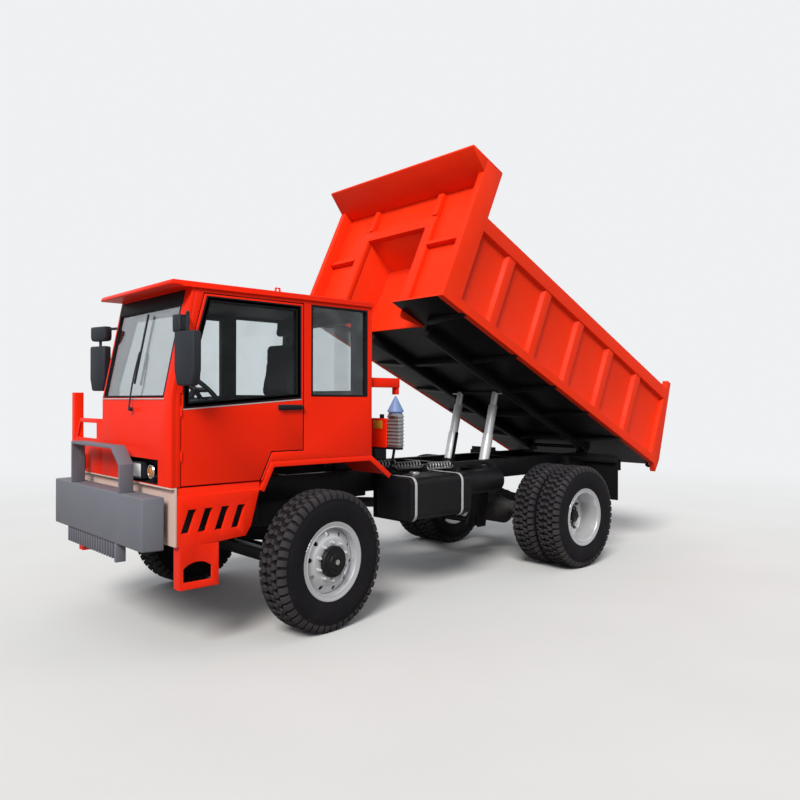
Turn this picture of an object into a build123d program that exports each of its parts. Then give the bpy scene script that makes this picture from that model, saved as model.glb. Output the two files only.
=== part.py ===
"""Small two-axle dump truck with a one-man cab on the left and its bed raised.

Millimetres, +X forward, +Y to the left, +Z up, the ground at Z = 0.
The origin is the middle of the truck's footprint. Lengths along the truck are
given from the front axle, and the bed has its own frame: u forward along its
floor, y to the left and w square to the floor.
"""

from build123d import *

from math import atan2, cos, hypot, radians, sin
import os

# Running gear
FRONT_AXLE_X = 1988.0
WHEELBASE = 3250.0
TYRE_RADIUS = 527.5
TYRE_WIDTH = 270.0
RIM_FLANGE_RADIUS = 298.5
RIM_BARREL_RADIUS = 252.0
HUB_RADIUS = 115.0
FRONT_WHEEL_Y = 1040.0
REAR_WHEELS_Y = 925.0
DUAL_SPACING = 310.0
STEER_ANGLE = 7.0
KINGPIN_TO_WHEEL = 200.0

# Chassis frame
RAIL_OUTER_Y = 420.0
RAIL_TOP_Z = 1110.0
RAIL_HEIGHT = 200.0
RAIL_FLANGE = 70.0
RAIL_WALL = 10.0
FRAME_FRONT = 1131.0
FRAME_REAR = -4500.0

# Cab
CAB_LEFT_Y = 950.0
CAB_RIGHT_Y = -260.0
CAB_FRONT = 1175.0
CAB_REAR = -560.0
CAB_SILL_Z = 1150.0
CAB_ARCH_Z = 1285.0
WINDSCREEN_SILL_Z = 1750.0
ROOF_LOW_Z = 2500.0
ROOF_TOP_Z = 2535.0
WINDSCREEN_RAKE = 153.0
WALL = 50.0
FRONT_WALL = 30.0
GLASS = 6.0
DOOR_GAP = 6.0
HOOD_TOP_Z = 1400.0

# Bed, in its own frame
BED_ANGLE = 24.6
BED_FRONT_U = -40.0
BED_OUTER_Y = 1070.0
BED_INNER_Y = 1000.0
BED_PANEL = 18.0
FLOOR_W = 2940.0
FLOOR_THICK = 20.0
SILL_TOP_W = 3030.0
TOP_RAIL_W = (3750.0, 3890.0)
POST_TOP_W = 4385.0
POST_REAR_U = -265.0
REAR_POST_U = -3940.0
BEAM_Y = (383.0, 463.0)
BEAM_LOW_W = 2850.0
HINGE_U = -3522.5
HINGE_W = 2900.0

# Hoist
HOIST_Y = 260.0
HOIST_TOP_U = -1896.0
HOIST_TOP_W = 2880.0
HOIST_BASE_Z = 450.0
HOIST_LEAN = 14.2

SIDES = (("left", 1), ("right", -1))

FX = FRONT_AXLE_X
RX = FRONT_AXLE_X - WHEELBASE
BED_COS = cos(radians(BED_ANGLE))
BED_SIN = sin(radians(BED_ANGLE))
BED_ORIGIN = (FX, 0, 0)
BED_ALONG = (BED_COS, 0, BED_SIN)
BED_UP = (-BED_SIN, 0, BED_COS)
BED_PLAN = Plane(origin=BED_ORIGIN, x_dir=BED_ALONG, z_dir=BED_UP)
BED_PROFILE = Plane(origin=BED_ORIGIN, x_dir=BED_ALONG, z_dir=(0, -1, 0))
BED_FACE = Plane(origin=BED_ORIGIN, x_dir=(0, 1, 0), z_dir=BED_ALONG)
TRUCK_PROFILE = Plane(origin=(FX, 0, 0), x_dir=(1, 0, 0), z_dir=(0, -1, 0))
TRUCK_PLAN = Plane(origin=(FX, 0, 0), x_dir=(1, 0, 0), z_dir=(0, 0, 1))
TRUCK_FACE = Plane(origin=(FX, 0, 0), x_dir=(0, 1, 0), z_dir=(1, 0, 0))


def prism(plane, points, amount, mode=Mode.ADD):
    """Extrude the closed outline through the points, drawn on the plane."""
    with BuildSketch(plane) as outline:
        with BuildLine():
            Polyline(*points, close=True)
        make_face()
    extrude(outline.sketch, amount=amount, mode=mode)


def side_prism(plane, points, y_low, y_high, mode=Mode.ADD):
    """Extrude a profile in (forward, up) across the truck from y_low to y_high."""
    prism(plane.offset(-y_high), points, y_high - y_low, mode)


def block(xs, ys, zs, mode=Mode.ADD):
    """A block between two stations, two sides and two heights."""
    corners = ((xs[0], zs[0]), (xs[1], zs[0]), (xs[1], zs[1]), (xs[0], zs[1]))
    side_prism(TRUCK_PROFILE, corners, min(ys), max(ys), mode)


def bed_block(us, ys, ws, mode=Mode.ADD):
    """A block in the bed's frame."""
    corners = ((us[0], ws[0]), (us[1], ws[0]), (us[1], ws[1]), (us[0], ws[1]))
    side_prism(BED_PROFILE, corners, min(ys), max(ys), mode)


def turned(plane, points, axis, mode=Mode.ADD):
    """Revolve the closed outline through the points about the axis."""
    with BuildSketch(plane) as outline:
        with BuildLine():
            Polyline(*points, close=True)
        make_face()
    revolve(outline.sketch, axis=axis, mode=mode)


def bar(start, end, radius, mode=Mode.ADD):
    """A round bar between two points."""
    span = Vector(*end) - Vector(*start)
    with BuildSketch(Plane(origin=start, z_dir=span.normalized())) as ring:
        Circle(radius)
    extrude(ring.sketch, amount=span.length, mode=mode)


def mirrored(ys, sign):
    """The two sides in ys, mirrored when sign is -1, low side first."""
    return tuple(sorted(sign * y for y in ys))


os.makedirs("parts", exist_ok=True)

# Chassis rails: two channels, open towards each other
with BuildPart() as frame_rails:
    for name, sign in SIDES:
        web = RAIL_OUTER_Y - RAIL_WALL
        lip = RAIL_OUTER_Y - RAIL_FLANGE
        low = RAIL_TOP_Z - RAIL_HEIGHT
        channel = (
            (RAIL_OUTER_Y, low), (RAIL_OUTER_Y, RAIL_TOP_Z), (lip, RAIL_TOP_Z),
            (lip, RAIL_TOP_Z - RAIL_WALL), (web, RAIL_TOP_Z - RAIL_WALL),
            (web, low + RAIL_WALL), (lip, low + RAIL_WALL), (lip, low),
        )
        prism(TRUCK_FACE.offset(FRAME_REAR), [(sign * y, z) for y, z in channel],
              FRAME_FRONT - FRAME_REAR)
frame_rails.part.label = "frame_rails"
export_step(frame_rails.part, "parts/frame_rails.step")

# The hoist's line at rest, from its base pin up to its top pin
TOP = BED_PLAN.from_local_coords((HOIST_TOP_U, 0, HOIST_TOP_W))
LEAN_COS = cos(radians(HOIST_LEAN))
LEAN_SIN = sin(radians(HOIST_LEAN))
HOIST_LENGTH = (TOP.Z - HOIST_BASE_Z) / LEAN_COS
HOIST_UP = Vector(-LEAN_SIN, 0, LEAN_COS)
BASE = TOP - HOIST_UP * HOIST_LENGTH
BASE_X = BASE.X - FX
HANGER_Y = (352.0, 376.0)

# Cross members join the rails' webs, a bar closes their ends, and two plates hold the hoist's base pin
CROSS_MEMBERS = (1080, -180, -1150, -2130, -3330, -4180)
CROSS_DEPTH = 80.0
CROSS_WALL = 8.0
with BuildPart() as frame_cross_members:
    for station in CROSS_MEMBERS:
        half = RAIL_OUTER_Y - RAIL_WALL
        low = RAIL_TOP_Z - RAIL_HEIGHT + 15
        top = RAIL_TOP_Z - 15
        back = station - CROSS_DEPTH / 2
        front = station + CROSS_DEPTH / 2
        section = (
            (back, low), (front, low), (front, low + CROSS_WALL), (back + CROSS_WALL, low + CROSS_WALL),
            (back + CROSS_WALL, top - CROSS_WALL), (front, top - CROSS_WALL), (front, top), (back, top),
        )
        side_prism(TRUCK_PROFILE, section, -half, half)
    block((FRAME_REAR - 12, FRAME_REAR), (-860, 860), (910, 1040))
    for name, sign in SIDES:
        hanger = ((BASE_X - 60, BASE.Z - 50), (BASE_X + 60, BASE.Z - 50),
                  (BASE_X + 130, RAIL_TOP_Z - RAIL_HEIGHT), (BASE_X - 130, RAIL_TOP_Z - RAIL_HEIGHT))
        side_prism(TRUCK_PROFILE, hanger, *mirrored(HANGER_Y, sign))
frame_cross_members.part.label = "frame_cross_members"
export_step(frame_cross_members.part, "parts/frame_cross_members.step")

# Hinge lugs stand on the rails, with the pin that the bed tips about
HINGE = BED_PLAN.from_local_coords((HINGE_U, 0, HINGE_W))
HINGE_X = HINGE.X - FX
HINGE_PIN_RADIUS = 22.0
LUG_Y = (338.0, 376.0)
LUG_HALF = 70.0
LUG_HEAD = 34.0
with BuildPart() as bed_hinge_mount:
    for name, sign in SIDES:
        lug = mirrored(LUG_Y, sign)
        taper = ((HINGE_X - LUG_HALF, RAIL_TOP_Z), (HINGE_X + LUG_HALF, RAIL_TOP_Z),
                 (HINGE_X + LUG_HEAD, HINGE.Z), (HINGE_X - LUG_HEAD, HINGE.Z))
        side_prism(TRUCK_PROFILE, taper, *lug)
        bar((HINGE.X, lug[0], HINGE.Z), (HINGE.X, lug[1], HINGE.Z), LUG_HEAD)
    bar((HINGE.X, -BEAM_Y[1] - 6, HINGE.Z), (HINGE.X, BEAM_Y[1] + 6, HINGE.Z), HINGE_PIN_RADIUS)
bed_hinge_mount.part.label = "bed_hinge_mount"
export_step(bed_hinge_mount.part, "parts/bed_hinge_mount.step")

# Leaf springs: the station of each pair, its y, eye height, seat height and half length
SPRINGS = (
    (FX + 24, 385.0, 800.0, 600.0, 620.0),
    (RX, 500.0, 860.0, 612.0, 660.0),
)
SPRING_WIDTH = 75.0
SPRING_STACK = 96.0
SPRING_TIP = 14.0
with BuildPart() as leaf_springs:
    for centre, y, eye_z, seat_z, half in SPRINGS:
        for name, sign in SIDES:
            plane = Plane(origin=(centre, sign * y + SPRING_WIDTH / 2, 0), x_dir=(1, 0, 0), z_dir=(0, -1, 0))
            with BuildSketch(plane) as leaves:
                with BuildLine():
                    ThreePointArc((-half, eye_z - SPRING_TIP), (0, seat_z), (half, eye_z - SPRING_TIP))
                    Line((half, eye_z - SPRING_TIP), (half, eye_z + SPRING_TIP))
                    ThreePointArc((half, eye_z + SPRING_TIP), (0, seat_z + SPRING_STACK), (-half, eye_z + SPRING_TIP))
                    Line((-half, eye_z + SPRING_TIP), (-half, eye_z - SPRING_TIP))
                make_face()
            extrude(leaves.sketch, amount=SPRING_WIDTH)
            seat = ((-80, seat_z), (80, seat_z), (80, seat_z + 60), (-80, seat_z + 60))
            prism(plane, seat, SPRING_WIDTH)
            for end in (-1, 1):
                x = centre + end * half - FX
                ys = (sign * y - SPRING_WIDTH / 2, sign * y + SPRING_WIDTH / 2)
                if y < RAIL_OUTER_Y:
                    block((x - 30, x + 30), ys, (eye_z - 20, RAIL_TOP_Z - RAIL_HEIGHT))
                else:
                    ys = mirrored((RAIL_OUTER_Y, y + SPRING_WIDTH / 2), sign)
                    block((x - 30, x + 30), ys, (eye_z - 20, RAIL_TOP_Z - 20))
leaf_springs.part.label = "leaf_springs"
export_step(leaf_springs.part, "parts/leaf_springs.step")

# Front axle: a dropped beam with a boss for each kingpin
AXLE_X = 24.0
KINGPIN_Y = FRONT_WHEEL_Y - KINGPIN_TO_WHEEL
BOSS_RADIUS = 45.0
KINGPIN_RADIUS = 20.0
BEAM_DEPTH = 90.0
with BuildPart() as front_axle:
    profile = ((-KINGPIN_Y, 575), (-620, 575), (-480, 500), (480, 500), (620, 575), (KINGPIN_Y, 575),
               (KINGPIN_Y, 480), (640, 480), (500, 400), (-500, 400), (-640, 480), (-KINGPIN_Y, 480))
    prism(TRUCK_FACE.offset(AXLE_X - BEAM_DEPTH / 2), profile, BEAM_DEPTH)
    for name, sign in SIDES:
        bar((FX + AXLE_X, sign * KINGPIN_Y, 480), (FX + AXLE_X, sign * KINGPIN_Y, 575), BOSS_RADIUS)
        ys = (sign * 385 - 45, sign * 385 + 45)
        block((AXLE_X - 80, AXLE_X + 80), ys, (490, 600))
        bar((FX + AXLE_X, sign * KINGPIN_Y, 470), (FX + AXLE_X, sign * KINGPIN_Y, 590),
            KINGPIN_RADIUS + 0.5, Mode.SUBTRACT)
front_axle.part.label = "front_axle"
export_step(front_axle.part, "parts/front_axle.step")

# Knuckles and front wheels stand at the steered angle
STEER_COS = cos(radians(STEER_ANGLE))
STEER_SIN = sin(radians(STEER_ANGLE))
HEADING = Vector(STEER_COS, STEER_SIN, 0)
HALF_WIDTH = TYRE_WIDTH / 2
for name, sign in SIDES:
    kingpin = Vector(FX + AXLE_X, sign * KINGPIN_Y, TYRE_RADIUS)
    outward = Vector(-STEER_SIN, STEER_COS, 0) * sign
    centre = kingpin + outward * KINGPIN_TO_WHEEL
    front_view = Plane(origin=tuple(kingpin), x_dir=tuple(outward), z_dir=tuple(outward.cross(Vector(0, 0, 1))))
    with BuildPart() as knuckle:
        for low, high in ((-112, -52), (52, 112)):
            lug = ((-40, low), (90, low), (90, high), (-40, high))
            prism(front_view.offset(-40), lug, 80)
        prism(front_view.offset(-60), ((60, -112), (90, -112), (90, 112), (60, 112)), 120)
        pin = Vector(0, 0, 100)
        bar(tuple(kingpin - pin), tuple(kingpin + pin), KINGPIN_RADIUS)
        bar(tuple(kingpin + outward * 80), tuple(kingpin + outward * 250), 34)
        tip = kingpin - HEADING * 150 - outward * 20
        bar((tip.X, tip.Y, kingpin.Z - 112), (tip.X, tip.Y, kingpin.Z - 82), 28)
        with BuildSketch(Plane(origin=(kingpin.X, kingpin.Y, kingpin.Z - 112), x_dir=tuple(HEADING))) as steering_arm:
            with Locations((-75, -sign * 10)):
                Rectangle(160, 50)
        extrude(steering_arm.sketch, amount=30)
    knuckle.part.label = f"knuckle_{name}"
    export_step(knuckle.part, f"parts/knuckle_{name}.step")

    wheel_view = Plane(origin=tuple(centre), x_dir=tuple(outward), z_dir=tuple(outward.cross(Vector(0, 0, 1))))
    spin = Axis(tuple(centre), tuple(outward))
    with BuildPart() as front_rim:
        barrel = ((-118, RIM_BARREL_RADIUS), (118, RIM_BARREL_RADIUS), (118, RIM_BARREL_RADIUS - 12),
                  (-118, RIM_BARREL_RADIUS - 12))
        turned(wheel_view, barrel, spin)
        for end in (-1, 1):
            flange = ((end * 118, 240), (end * 118, RIM_FLANGE_RADIUS), (end * 108, RIM_FLANGE_RADIUS),
                      (end * 100, RIM_BARREL_RADIUS), (end * 100, 240))
            turned(wheel_view, flange, spin)
        disc = ((88, 60), (88, 168), (58, 225), (40, 245), (52, 250), (72, 232), (100, 174), (100, 60))
        turned(wheel_view, disc, spin)
        hub = ((-60, 36), (-60, 105), (88, 105), (100, HUB_RADIUS), (128, HUB_RADIUS), (140, 100),
               (140, 62), (158, 55), (158, 0), (60, 0), (60, 36))
        turned(wheel_view, hub, spin)
        with BuildSketch(Plane(origin=tuple(centre), x_dir=tuple(HEADING), z_dir=tuple(outward))) as hand_holes:
            with PolarLocations(204, 10):
                Circle(17)
        extrude(hand_holes.sketch, amount=110, mode=Mode.SUBTRACT)
    front_rim.part.label = f"front_rim_{name}"
    export_step(front_rim.part, f"parts/front_rim_{name}.step")

    with BuildPart() as front_tyre:
        tread = ((-99, 252.5), (-107, 299.2), (-119, 299.2), (-HALF_WIDTH, 400), (-126, 478), (-108, TYRE_RADIUS - 8),
                 (-92, TYRE_RADIUS), (92, TYRE_RADIUS), (108, TYRE_RADIUS - 8), (126, 478),
                 (HALF_WIDTH, 400), (119, 299.2), (107, 299.2), (99, 252.5))
        turned(wheel_view, tread, spin)
    front_tyre.part.label = f"front_tyre_{name}"
    export_step(front_tyre.part, f"parts/front_tyre_{name}.step")

# Tie rod lies just over the steering arms
ARM_TIPS = []
for name, sign in SIDES:
    outward = Vector(-STEER_SIN, STEER_COS, 0) * sign
    ARM_TIPS.append(Vector(FX + AXLE_X, sign * KINGPIN_Y, 0) - HEADING * 150 - outward * 20)
with BuildPart() as tie_rod:
    ends = [(tip.X, tip.Y, TYRE_RADIUS - 55) for tip in ARM_TIPS]
    bar(ends[0], ends[1], 19)
tie_rod.part.label = "tie_rod"
export_step(tie_rod.part, "parts/tie_rod.step")

# Rear axle: a housing with its differential and the spindles of the twin wheels
with BuildPart() as rear_axle:
    rear_view = Plane(origin=(RX, 0, TYRE_RADIUS), x_dir=(0, 1, 0), z_dir=(1, 0, 0))
    across = Axis((RX, 0, TYRE_RADIUS), (0, 1, 0))
    with BuildSketch(rear_view) as housing:
        with BuildLine():
            Line((-1030, 0), (-1030, 45))
            Polyline((-1030, 45), (-745, 45), (-745, 80), (-230, 80))
            Polyline((-230, 80), (-130, 190), (130, 190), (230, 80))
            Polyline((230, 80), (745, 80), (745, 45), (1030, 45))
            Line((1030, 45), (1030, 0))
            Line((1030, 0), (-1030, 0))
        make_face()
    revolve(housing.sketch, axis=across)
    for name, sign in SIDES:
        ys = (sign * 500 - 45, sign * 500 + 45)
        block((RX - FX - 80, RX - FX + 80), ys, (560, 612))
rear_axle.part.label = "rear_axle"
export_step(rear_axle.part, "parts/rear_axle.step")

# Twin rear wheels: two dished discs back to back on one hub
for name, sign in SIDES:
    centre = Vector(RX, sign * REAR_WHEELS_Y, TYRE_RADIUS)
    outward = Vector(0, sign, 0)
    wheel_view = Plane(origin=tuple(centre), x_dir=tuple(outward), z_dir=tuple(outward.cross(Vector(0, 0, 1))))
    spin = Axis(tuple(centre), tuple(outward))
    with BuildPart() as rear_rims:
        for end in (-1, 1):
            middle = end * DUAL_SPACING / 2
            for flip in (-1, 1):
                edge = middle + flip * 118
                inner = middle + flip * 100
                flange = ((edge, 240), (edge, RIM_FLANGE_RADIUS), (edge - flip * 10, RIM_FLANGE_RADIUS),
                          (inner, RIM_BARREL_RADIUS), (inner, 240))
                turned(wheel_view, flange, spin)
            barrel = ((middle - 118, 240), (middle + 118, 240), (middle + 118, RIM_BARREL_RADIUS),
                      (middle - 118, RIM_BARREL_RADIUS))
            turned(wheel_view, barrel, spin)
            disc = ((0, 100), (end * 12, 100), (end * 12, 176), (end * 60, 236), (end * 60, 246),
                    (end * 46, 246), (0, 186))
            turned(wheel_view, disc, spin)
        hub = ((-150, 46), (-150, 120), (-40, 120), (-20, 110), (40, 110), (60, HUB_RADIUS), (110, HUB_RADIUS),
               (122, 95), (150, 80), (158, 60), (158, 0), (110, 0), (110, 46))
        turned(wheel_view, hub, spin)
    rear_rims.part.label = f"rear_rims_{name}"
    export_step(rear_rims.part, f"parts/rear_rims_{name}.step")

    with BuildPart() as rear_tyres:
        for end in (-1, 1):
            middle = end * DUAL_SPACING / 2
            tread = ((-99, 252.5), (-107, 299.2), (-119, 299.2), (-HALF_WIDTH, 400), (-126, 478), (-108, TYRE_RADIUS - 8),
                     (-92, TYRE_RADIUS), (92, TYRE_RADIUS), (108, TYRE_RADIUS - 8), (126, 478),
                     (HALF_WIDTH, 400), (119, 299.2), (107, 299.2), (99, 252.5))
            turned(wheel_view, [(middle + t, r) for t, r in tread], spin)
    rear_tyres.part.label = f"rear_tyres_{name}"
    export_step(rear_tyres.part, f"parts/rear_tyres_{name}.step")

# Engine and driveline under the cab and between the rails
with BuildPart() as engine_block:
    block((100, 960), (-290, 290), (640, 1120))
engine_block.part.label = "engine_block"
export_step(engine_block.part, "parts/engine_block.step")

with BuildPart() as driveline:
    gearbox = ((100, 650), (100, 1060), (10, 1060), (-110, 915), (-700, 900), (-700, 700), (-300, 650))
    side_prism(TRUCK_PROFILE, gearbox, -190, 190)
    bar((FX - 700, 0, 800), (RX + 190, 0, 560), 48)
driveline.part.label = "driveline"
export_step(driveline.part, "parts/driveline.step")

# Cab sides: the outline seen from the left, with the door and windows cut
SIDE_FRONT = CAB_FRONT - FRONT_WALL
RAKED_FRONT = SIDE_FRONT - WINDSCREEN_RAKE
WINDOW_REAR = ((45, 1765), (45, 2465), (-510, 2465), (-510, 1765))
WINDOW_DOOR = ((1079, 1686), (1078, 1827), (910, 2442), (153, 2440), (151, 1759))
DOOR = ((120, 1360), (400, 1360), (497, 1156), (1100, 1156), (1100, 1835), (932, 2462), (120, 2462))
DOOR_HOLE = (
    (120 - DOOR_GAP, 1285), (400, 1285), (497, 1150), (1106, 1150), (1106, 1835),
    (937, 2468), (120 - DOOR_GAP, 2468),
)
with BuildPart() as cab_side_left:
    outline = ((SIDE_FRONT, CAB_SILL_Z), (SIDE_FRONT, WINDSCREEN_SILL_Z), (RAKED_FRONT, ROOF_LOW_Z),
               (CAB_REAR, ROOF_LOW_Z), (CAB_REAR, CAB_ARCH_Z), (400, CAB_ARCH_Z), (497, CAB_SILL_Z))
    side_prism(TRUCK_PROFILE, outline, CAB_LEFT_Y - WALL, CAB_LEFT_Y)
    side_prism(TRUCK_PROFILE, DOOR_HOLE, CAB_LEFT_Y - WALL, CAB_LEFT_Y, Mode.SUBTRACT)
    sill = ((CAB_REAR, CAB_ARCH_Z), (400, CAB_ARCH_Z), (467, 1152), (490, 1152), (396, 1354), (CAB_REAR, 1354))
    side_prism(TRUCK_PROFILE, sill, CAB_LEFT_Y - WALL, CAB_LEFT_Y)
    side_prism(TRUCK_PROFILE, WINDOW_REAR, CAB_LEFT_Y - WALL, CAB_LEFT_Y, Mode.SUBTRACT)
cab_side_left.part.label = "cab_side_left"
export_step(cab_side_left.part, "parts/cab_side_left.step")

with BuildPart() as cab_side_right:
    outline = ((SIDE_FRONT, CAB_SILL_Z), (SIDE_FRONT, WINDSCREEN_SILL_Z), (RAKED_FRONT, ROOF_LOW_Z),
               (CAB_REAR, ROOF_LOW_Z), (CAB_REAR, CAB_ARCH_Z), (400, CAB_ARCH_Z), (497, CAB_SILL_Z))
    side_prism(TRUCK_PROFILE, outline, CAB_RIGHT_Y, CAB_RIGHT_Y + WALL)
    side_prism(TRUCK_PROFILE, WINDOW_REAR, CAB_RIGHT_Y, CAB_RIGHT_Y + WALL, Mode.SUBTRACT)
    side_prism(TRUCK_PROFILE, WINDOW_DOOR, CAB_RIGHT_Y, CAB_RIGHT_Y + WALL, Mode.SUBTRACT)
cab_side_right.part.label = "cab_side_right"
export_step(cab_side_right.part, "parts/cab_side_right.step")

# Cab front: the lower panel with its lamp recess, and the raked windscreen frame
SCREEN_LEFT_Y = 834.0
SCREEN_RIGHT_Y = -235.0
SCREEN_TOP_Z = 2400.0
LAMP_RECESS = ((250, 1155), (748, 1155), (748, 1324), (250, 1324))
SCREEN_FRAME = (
    (CAB_FRONT, CAB_SILL_Z), (CAB_FRONT, WINDSCREEN_SILL_Z),
    (CAB_FRONT - WINDSCREEN_RAKE, ROOF_LOW_Z), (RAKED_FRONT, ROOF_LOW_Z),
    (SIDE_FRONT, WINDSCREEN_SILL_Z), (SIDE_FRONT, CAB_SILL_Z),
)
with BuildPart() as cab_front:
    side_prism(TRUCK_PROFILE, SCREEN_FRAME, CAB_RIGHT_Y, CAB_LEFT_Y)
    screen = (
        (CAB_FRONT + 5, WINDSCREEN_SILL_Z), (SIDE_FRONT - 170, WINDSCREEN_SILL_Z),
        (SIDE_FRONT - 170, SCREEN_TOP_Z), (CAB_FRONT + 5, SCREEN_TOP_Z),
    )
    side_prism(TRUCK_PROFILE, screen, SCREEN_RIGHT_Y, SCREEN_LEFT_Y, Mode.SUBTRACT)
    prism(TRUCK_FACE.offset(SIDE_FRONT), LAMP_RECESS, FRONT_WALL, Mode.SUBTRACT)
    block((SIDE_FRONT - 60, SIDE_FRONT), (240, 758), (1151, 1334))
    prism(TRUCK_FACE.offset(SIDE_FRONT - 50), LAMP_RECESS, 60, Mode.SUBTRACT)
cab_front.part.label = "cab_front"
export_step(cab_front.part, "parts/cab_front.step")

with BuildPart() as cab_rear_wall:
    rear_face = TRUCK_FACE.offset(CAB_REAR)
    y_low = CAB_RIGHT_Y + WALL
    y_high = CAB_LEFT_Y - WALL
    wall = ((y_low, CAB_ARCH_Z), (y_high, CAB_ARCH_Z), (y_high, ROOF_LOW_Z), (y_low, ROOF_LOW_Z))
    prism(rear_face, wall, WALL)
    rear_window = ((-60, 1800), (750, 1800), (750, 2400), (-60, 2400))
    prism(rear_face, rear_window, WALL, Mode.SUBTRACT)
cab_rear_wall.part.label = "cab_rear_wall"
export_step(cab_rear_wall.part, "parts/cab_rear_wall.step")

# Cab floor steps down in front of the wheel arch
with BuildPart() as cab_floor:
    section = (
        (CAB_REAR + WALL, CAB_ARCH_Z), (CAB_REAR + WALL, 1325), (400, 1325), (515, 1190),
        (SIDE_FRONT - 60, 1190), (SIDE_FRONT - 60, 1152), (472, 1152), (406, CAB_ARCH_Z),
    )
    side_prism(TRUCK_PROFILE, section, CAB_RIGHT_Y + WALL, CAB_LEFT_Y - WALL)
cab_floor.part.label = "cab_floor"
export_step(cab_floor.part, "parts/cab_floor.step")

# Roof plate overhangs the windscreen and carries two lifting eyes
EYE_X = 273.0
EYE_Y = (830.0, -140.0)
EYE_Z = 2565.0
EYE_RADIUS = 12.0
EYE_THICK = 12.0
with BuildPart() as cab_roof:
    roof = ((CAB_REAR - 6, ROOF_LOW_Z), (CAB_FRONT + 8, ROOF_LOW_Z), (CAB_FRONT + 12, ROOF_LOW_Z + 12),
            (CAB_FRONT - 4, ROOF_TOP_Z), (CAB_REAR - 6, ROOF_TOP_Z))
    side_prism(TRUCK_PROFILE, roof, CAB_RIGHT_Y - 12, CAB_LEFT_Y + 12)
    for y in EYE_Y:
        eye = ((EYE_X - 30, ROOF_TOP_Z), (EYE_X + 30, ROOF_TOP_Z), (EYE_X + 22, EYE_Z + 20), (EYE_X - 22, EYE_Z + 20))
        side_prism(TRUCK_PROFILE, eye, y - EYE_THICK / 2, y + EYE_THICK / 2)
        bar((FX + EYE_X, y - EYE_THICK, EYE_Z), (FX + EYE_X, y + EYE_THICK, EYE_Z), EYE_RADIUS, Mode.SUBTRACT)
cab_roof.part.label = "cab_roof"
export_step(cab_roof.part, "parts/cab_roof.step")

# Fixed glass: windscreen, quarter window, rear window and the two on the right
RAKE_PER_MM = WINDSCREEN_RAKE / (ROOF_LOW_Z - WINDSCREEN_SILL_Z)
SCREEN_TOP_SHIFT = RAKE_PER_MM * (SCREEN_TOP_Z - WINDSCREEN_SILL_Z)
with BuildPart() as cab_glass:
    face_x = CAB_FRONT - 12
    screen = (
        (face_x, WINDSCREEN_SILL_Z), (face_x - SCREEN_TOP_SHIFT, SCREEN_TOP_Z),
        (face_x - SCREEN_TOP_SHIFT - GLASS, SCREEN_TOP_Z), (face_x - GLASS, WINDSCREEN_SILL_Z),
    )
    side_prism(TRUCK_PROFILE, screen, SCREEN_RIGHT_Y, SCREEN_LEFT_Y)
    left = CAB_LEFT_Y - WALL / 2
    side_prism(TRUCK_PROFILE, WINDOW_REAR, left, left + GLASS)
    right = CAB_RIGHT_Y + WALL / 2
    side_prism(TRUCK_PROFILE, WINDOW_REAR, right, right + GLASS)
    side_prism(TRUCK_PROFILE, WINDOW_DOOR, right, right + GLASS)
    prism(rear_face.offset(WALL / 2), rear_window, GLASS)
cab_glass.part.label = "cab_glass"
export_step(cab_glass.part, "parts/cab_glass.step")

# Left door and its glass
with BuildPart() as cab_door_left:
    side_prism(TRUCK_PROFILE, DOOR, CAB_LEFT_Y - WALL, CAB_LEFT_Y)
    side_prism(TRUCK_PROFILE, WINDOW_DOOR, CAB_LEFT_Y - WALL, CAB_LEFT_Y, Mode.SUBTRACT)
    block((130, 340), (CAB_LEFT_Y, CAB_LEFT_Y + 28), (1668, 1694))
    block((170, 310), (CAB_LEFT_Y, CAB_LEFT_Y + 14), (1660, 1702), Mode.SUBTRACT)
cab_door_left.part.label = "cab_door_left"
export_step(cab_door_left.part, "parts/cab_door_left.step")

with BuildPart() as door_glass_left:
    side_prism(TRUCK_PROFILE, WINDOW_DOOR, left, left + GLASS)
door_glass_left.part.label = "door_glass_left"
export_step(door_glass_left.part, "parts/door_glass_left.step")

# Inside the cab: seat, dash and steering wheel
with BuildPart() as driver_seat:
    back = ((-60, 1720), (60, 1740), (0, 2230), (-100, 2220))
    side_prism(TRUCK_PROFILE, back, 210, 690)
    cushion = ((-60, 1600), (440, 1600), (440, 1720), (400, 1740), (-60, 1740))
    side_prism(TRUCK_PROFILE, cushion, 200, 700)
    block((0, 360), (270, 630), (1325, 1600))
driver_seat.part.label = "driver_seat"
export_step(driver_seat.part, "parts/driver_seat.step")

with BuildPart() as dash_and_steering:
    dash = ((SIDE_FRONT, 1450), (SIDE_FRONT, 1700), (900, 1740), (860, 1500), (960, 1450))
    side_prism(TRUCK_PROFILE, dash, CAB_RIGHT_Y + WALL, CAB_LEFT_Y - WALL - 8)
    bar((FX + 930, 450, 1600), (FX + 760, 450, 1800), 24)
    wheel_plane = Plane(origin=(FX + 760, 450, 1800), z_dir=(-0.65, 0, 0.76))
    with BuildSketch(wheel_plane) as steering_wheel:
        Circle(225)
        Circle(195, mode=Mode.SUBTRACT)
        for angle in (90, 210, 330):
            with Locations(Location((0, 0, 0), angle)):
                with Locations((100, 0)):
                    Rectangle(200, 28)
        Circle(40)
    extrude(steering_wheel.sketch, amount=26)
dash_and_steering.part.label = "dash_and_steering"
export_step(dash_and_steering.part, "parts/dash_and_steering.step")

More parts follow.
